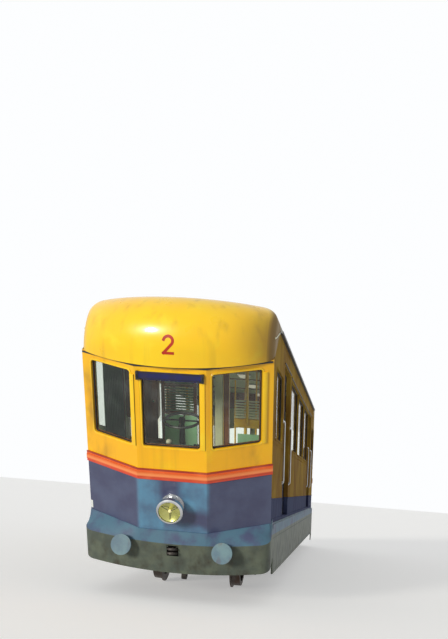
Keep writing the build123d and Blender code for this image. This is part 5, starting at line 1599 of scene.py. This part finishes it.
cover_lines = side_lines(SIDE_COLOUR_LINE, RUNS, 0.004) + side_lines(WINDOW_STRIP, RUNS, 0.03)
sweep_piece("side_cover_strips", cover_lines, shaded_side_paint, 0.032, 0.005, ease=0.002)
rivet_lines = side_lines(SIDE_COLOUR_LINE, RUNS, 0.04, RIVET_PROUD)
rivet_lines += side_lines(WINDOW_STRIP, RUNS, 0.06, RIVET_PROUD)
rivet_lines += side_lines(0.62, RUNS, 0.05) + side_lines(3.02, full_length(0.75), 0.02)
stud_piece("side_rivets", rivet_lines, shaded_side_paint, 0.085, 0.0055, 0.0028)
drip_lines = side_lines(2.835, [(near + 0.04, far - 0.04) for far, near in DOORWAYS])
drip_lines += side_lines(2.815, full_length(2.5))
sweep_piece("side_drip_strips", drip_lines, gutter_paint, 0.014, 0.014, ease=0.005)

# %% [markdown]
# Beside each doorway stands a handrail for the passengers, bent from round tube into two feet that are
# screwed to the wall. They keep inside the width of the car over its buffers and skirts.

# %% Handrails
HANDRAIL_FOOT = 1.12
HANDRAIL_TALL = 0.9
HANDRAIL_GAP = 0.075
HANDRAIL_PROUD = 0.02
HANDRAIL_BEND = (
    (-0.004, 0), (HANDRAIL_PROUD / 2, 0), (HANDRAIL_PROUD, 0.02), (HANDRAIL_PROUD, 0.1),
    (HANDRAIL_PROUD, 0.45), (HANDRAIL_PROUD, 0.8), (HANDRAIL_PROUD, 0.88), (HANDRAIL_PROUD / 2, 0.9),
    (-0.004, HANDRAIL_TALL),
)
HANDRAIL_FLANGE = ((0, 0), (0.026, 0), (0.026, 0.003), (0.018, 0.005), (0, 0.005))

rails = bmesh.new()
for hand in SIDES:
    for far, near in DOORWAYS:
        for x in (near + HANDRAIL_GAP, far - HANDRAIL_GAP):
            add_rod(rails, [slant_point(x, hand * (HALF + proud), HANDRAIL_FOOT + rise)
                            for proud, rise in HANDRAIL_BEND], 0.011)
            for rise in (0, HANDRAIL_TALL):
                add_turned(rails, side_place(x, hand, HANDRAIL_FOOT + rise), HANDRAIL_FLANGE, 20)
shape_piece("door_handrails", rails, chrome)

# %% [markdown]
# The sliding leaves have a sunk pull and a lock outside and a bow handle inside, and a shallow moulding
# frames the lower panel. The leaf runs behind the wall with 10 mm to spare, so nothing on its outer face
# may stand out more than 4 mm.

# %% Door furniture
PULL_HEIGHT = 1.28
PULL_INSET = 0.06
LOCK = ((0, 0), (0.02, 0), (0.02, 0.003), (0.012, 0.0038), (0, 0.0038))
MOULDING_INSET = 0.13
MOULDING_LOW = 0.36
MOULDING_HIGH = 1.42

for door in DOORS:
    low, high = solids_of(door)[0]
    hand = 1 if low.y > 0 else -1
    face, back = (high.y, low.y) if hand > 0 else (low.y, high.y)
    pull_x = (high.x - PULL_INSET) if "downhill" in door else (low.x + PULL_INSET)
    furniture = bmesh.new()
    outer = placement(slant_point(pull_x, face, PULL_HEIGHT), LEVEL * -hand, PLUMB, ACROSS * hand)
    inner = placement(slant_point(pull_x, back, PULL_HEIGHT), LEVEL * hand, PLUMB, ACROSS * -hand)
    add_bar(furniture, outer, (0.042, 0.16, 0.003), (0, 0, 0.0014), 0.001)
    add_turned(furniture, outer, LOCK, 20, (0, -0.13, 0))
    add_bar(furniture, inner, (0.036, 0.2, 0.004), (0, 0, 0.002), 0.001)
    add_bar(furniture, inner, (0.016, 0.15, 0.01), (0, 0, 0.008), 0.003)
    shape_piece(door + "_handles", furniture, chrome, door)
    left, right = low.x + MOULDING_INSET, high.x - MOULDING_INSET
    corners = ((left, MOULDING_LOW), (right, MOULDING_LOW), (right, MOULDING_HIGH), (left, MOULDING_HIGH))
    lines = [([slant_point(x, face, height) for x, height in corners], ACROSS * hand, True)]
    sweep_piece(door + "_moulding", lines, door_paint, 0.02, 0.0035, door, ease=0.001)
    print(door, "leaf from", round(low.x, 3), "to", round(high.x, 3), "face", round(face, 4))

# %% [markdown]
# The aprons are the car's bumpers against stones and snow: thick sheet, riveted along the ledge and
# along the lower edge. Rays along the track find the sheet, so the rows follow its bow, and the lowest
# height that a ray still meets gives the edge.

# %% Rivets of aprons and skirts
LEDGE_ROW = 0.395
EDGE_INSET = 0.03
ROW_POINTS = 33
ROW_HALF = 0.96
SKIRT_ROWS = (0.36, -0.1)


def apron_edge(sheet, corner, out, y):
    """The lowest height, in whole centimetres, at which an apron is met."""
    for height in range(-50, 40):
        if sheet.ray_cast(end_point(corner, out, 2, y, height / 100), LEVEL * -out)[0]:
            return height / 100


apron_lines = []
row = [-ROW_HALF + n * 0.06 for n in range(ROW_POINTS)]
for end, corner, out in ENDS:
    sheet = surface_of(f"{end}_apron")
    along_ledge = [end_point(corner, out, 2, y, LEDGE_ROW) for y in row]
    along_edge = [end_point(corner, out, 2, y, apron_edge(sheet, corner, out, y) + EDGE_INSET) for y in row]
    apron_lines += [traced(sheet, starts, LEVEL * -out) for starts in (along_ledge, along_edge)]
stud_piece("apron_rivets", apron_lines, skirt_paint, 0.11, 0.0075, 0.0035)
skirt_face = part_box("skirts")[1].y - HALF - 0.0005
skirt_lines = [line for height in SKIRT_ROWS
               for line in side_lines(height, full_length(0.1), 0.0, skirt_face)]
stud_piece("skirt_rivets", skirt_lines, skirt_paint, 0.12, 0.007, 0.003)
print("skirts stand", round(skirt_face, 4), "proud of the walls; apron rows", len(apron_lines))

# %% [markdown]
# A strip on each flank of a dome leads rain away from the door below it, and its pale cream is a
# painted highlight. It is traced on the dome with rays from the side. The roof is flat on top and
# rounded at its shoulders, where a rain strip along each side does the same for the doors.

# %% Strips on domes and roof
DOME_STRIP_FIRST = -0.12
DOME_STRIP_HEIGHT = 2.832
DOME_STRIP_POINTS = 12
DOME_STRIP_PITCH = 0.048
DOME_STRIP_FALL = 0.0095
SHOULDER_Y = 1.02
ROOF_POINTS = 24

dome_lines = []
for end, corner, out in ENDS:
    for hand in SIDES:
        starts = [end_point(corner, out, DOME_STRIP_FIRST - n * DOME_STRIP_PITCH, hand * 2,
                            DOME_STRIP_HEIGHT - n * DOME_STRIP_FALL) for n in range(DOME_STRIP_POINTS)]
        dome_lines.append(traced(dome_surfaces[end], starts, ACROSS * -hand))
print("dome strips of", [len(line[0]) for line in dome_lines], "points")
# The pale cream of the dome strips is a painted highlight.
sweep_piece("dome_drip_strips", dome_lines, sunlit_cream, 0.018, 0.007, ease=0.003)
roof_lines = []
for hand in SIDES:
    starts = [slant_point(-1.0 - n * (BODY_LENGTH - 2.0) / ROOF_POINTS, hand * SHOULDER_Y, 4.2)
              for n in range(ROOF_POINTS + 1)]
    roof_lines.append(traced(roof_surface, starts, -PLUMB))
sweep_piece("roof_rain_strips", roof_lines, roof_paint, 0.012, 0.016, ease=0.004)

# %% [markdown]
# A small white enamel plate at the foot of one side facet marks the width of the car to the staff at
# a passing place. It is blank.

# %% Marker plates
PLATE_HEIGHT = 0.635
PLATE_ASIDE = 0.02 - FACET_LENGTH / 2
PLATE_SCREW = ((0, 0), (0.004, 0), (0.003, 0.0015), (0, 0.002))

plates = bmesh.new()
for end, corner, out in ENDS:
    place = facet_place(corner, out, -1, PLATE_HEIGHT)
    add_bar(plates, place, (0.032, 0.1, 0.004), (PLATE_ASIDE, 0, 0.0015), 0.001)
    for rise in (-0.038, 0.038):
        add_turned(plates, place, PLATE_SCREW, 8, (PLATE_ASIDE, rise, 0.003))
enamel = worn_finish("enamel", (236, 238, 236), (222, 226, 224), 0.2, grime=0.12, grime_colour=RUST)
shape_piece("marker_plates", plates, enamel)

# %% [markdown]
# Under the floor, two brake pipes run the length of the car in clips below the bearers, and each axle
# box has a round cover held by six bolts.

# %% Pipes and axle box covers
PIPE_Y = 0.3
PIPE_Z = 0.632
PIPE_RADIUS = 0.012
PIPE_STEPS = 6
PIPE_INSET = 0.02
BOX_COVER = ((0, 0), (0.088, 0), (0.088, 0.01), (0.06, 0.014), (0.05, 0.024), (0, 0.028))
COVER_BOLT_CIRCLE = 0.074

head_low, head_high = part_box("headstocks")
pipes, clips, covers = (bmesh.new() for n in range(3))
pipe_step = (head_high.x - head_low.x - 2 * PIPE_INSET) / PIPE_STEPS
for hand in SIDES:
    add_rod(pipes, [Vector((head_low.x + PIPE_INSET + n * pipe_step, hand * PIPE_Y, PIPE_Z))
                    for n in range(PIPE_STEPS + 1)], PIPE_RADIUS)
for low, high in solids_of("cross_bearers", Vector):
    for hand in SIDES:
        place = Matrix.Translation(((low.x + high.x) / 2, hand * PIPE_Y, PIPE_Z))
        add_bar(clips, place, (0.03, 0.044, 0.036), ease=0.006)
cover_bolts = []
for low, high in solids_of("axle_boxes", Vector):
    middle = (low + high) / 2
    hand = 1 if middle.y > 0 else -1
    outwards = Vector((0, hand, 0))
    face = Vector((middle.x, high.y if hand > 0 else low.y, middle.z))
    add_turned(covers, placement(face, Vector((-hand, 0, 0)), Vector((0, 0, 1)), outwards), BOX_COVER, 36)
    cover_bolts.append(ring_line(face + outwards * 0.009, outwards, COVER_BOLT_CIRCLE))
shape_piece("brake_pipes", pipes, frame_paint)
shape_piece("pipe_clips", clips, cast_steel)
shape_piece("axle_box_covers", covers, cast_steel)
bolt_rings("axle_box_bolts", cover_bolts, COVER_BOLT_CIRCLE, 0.009, 0.008)
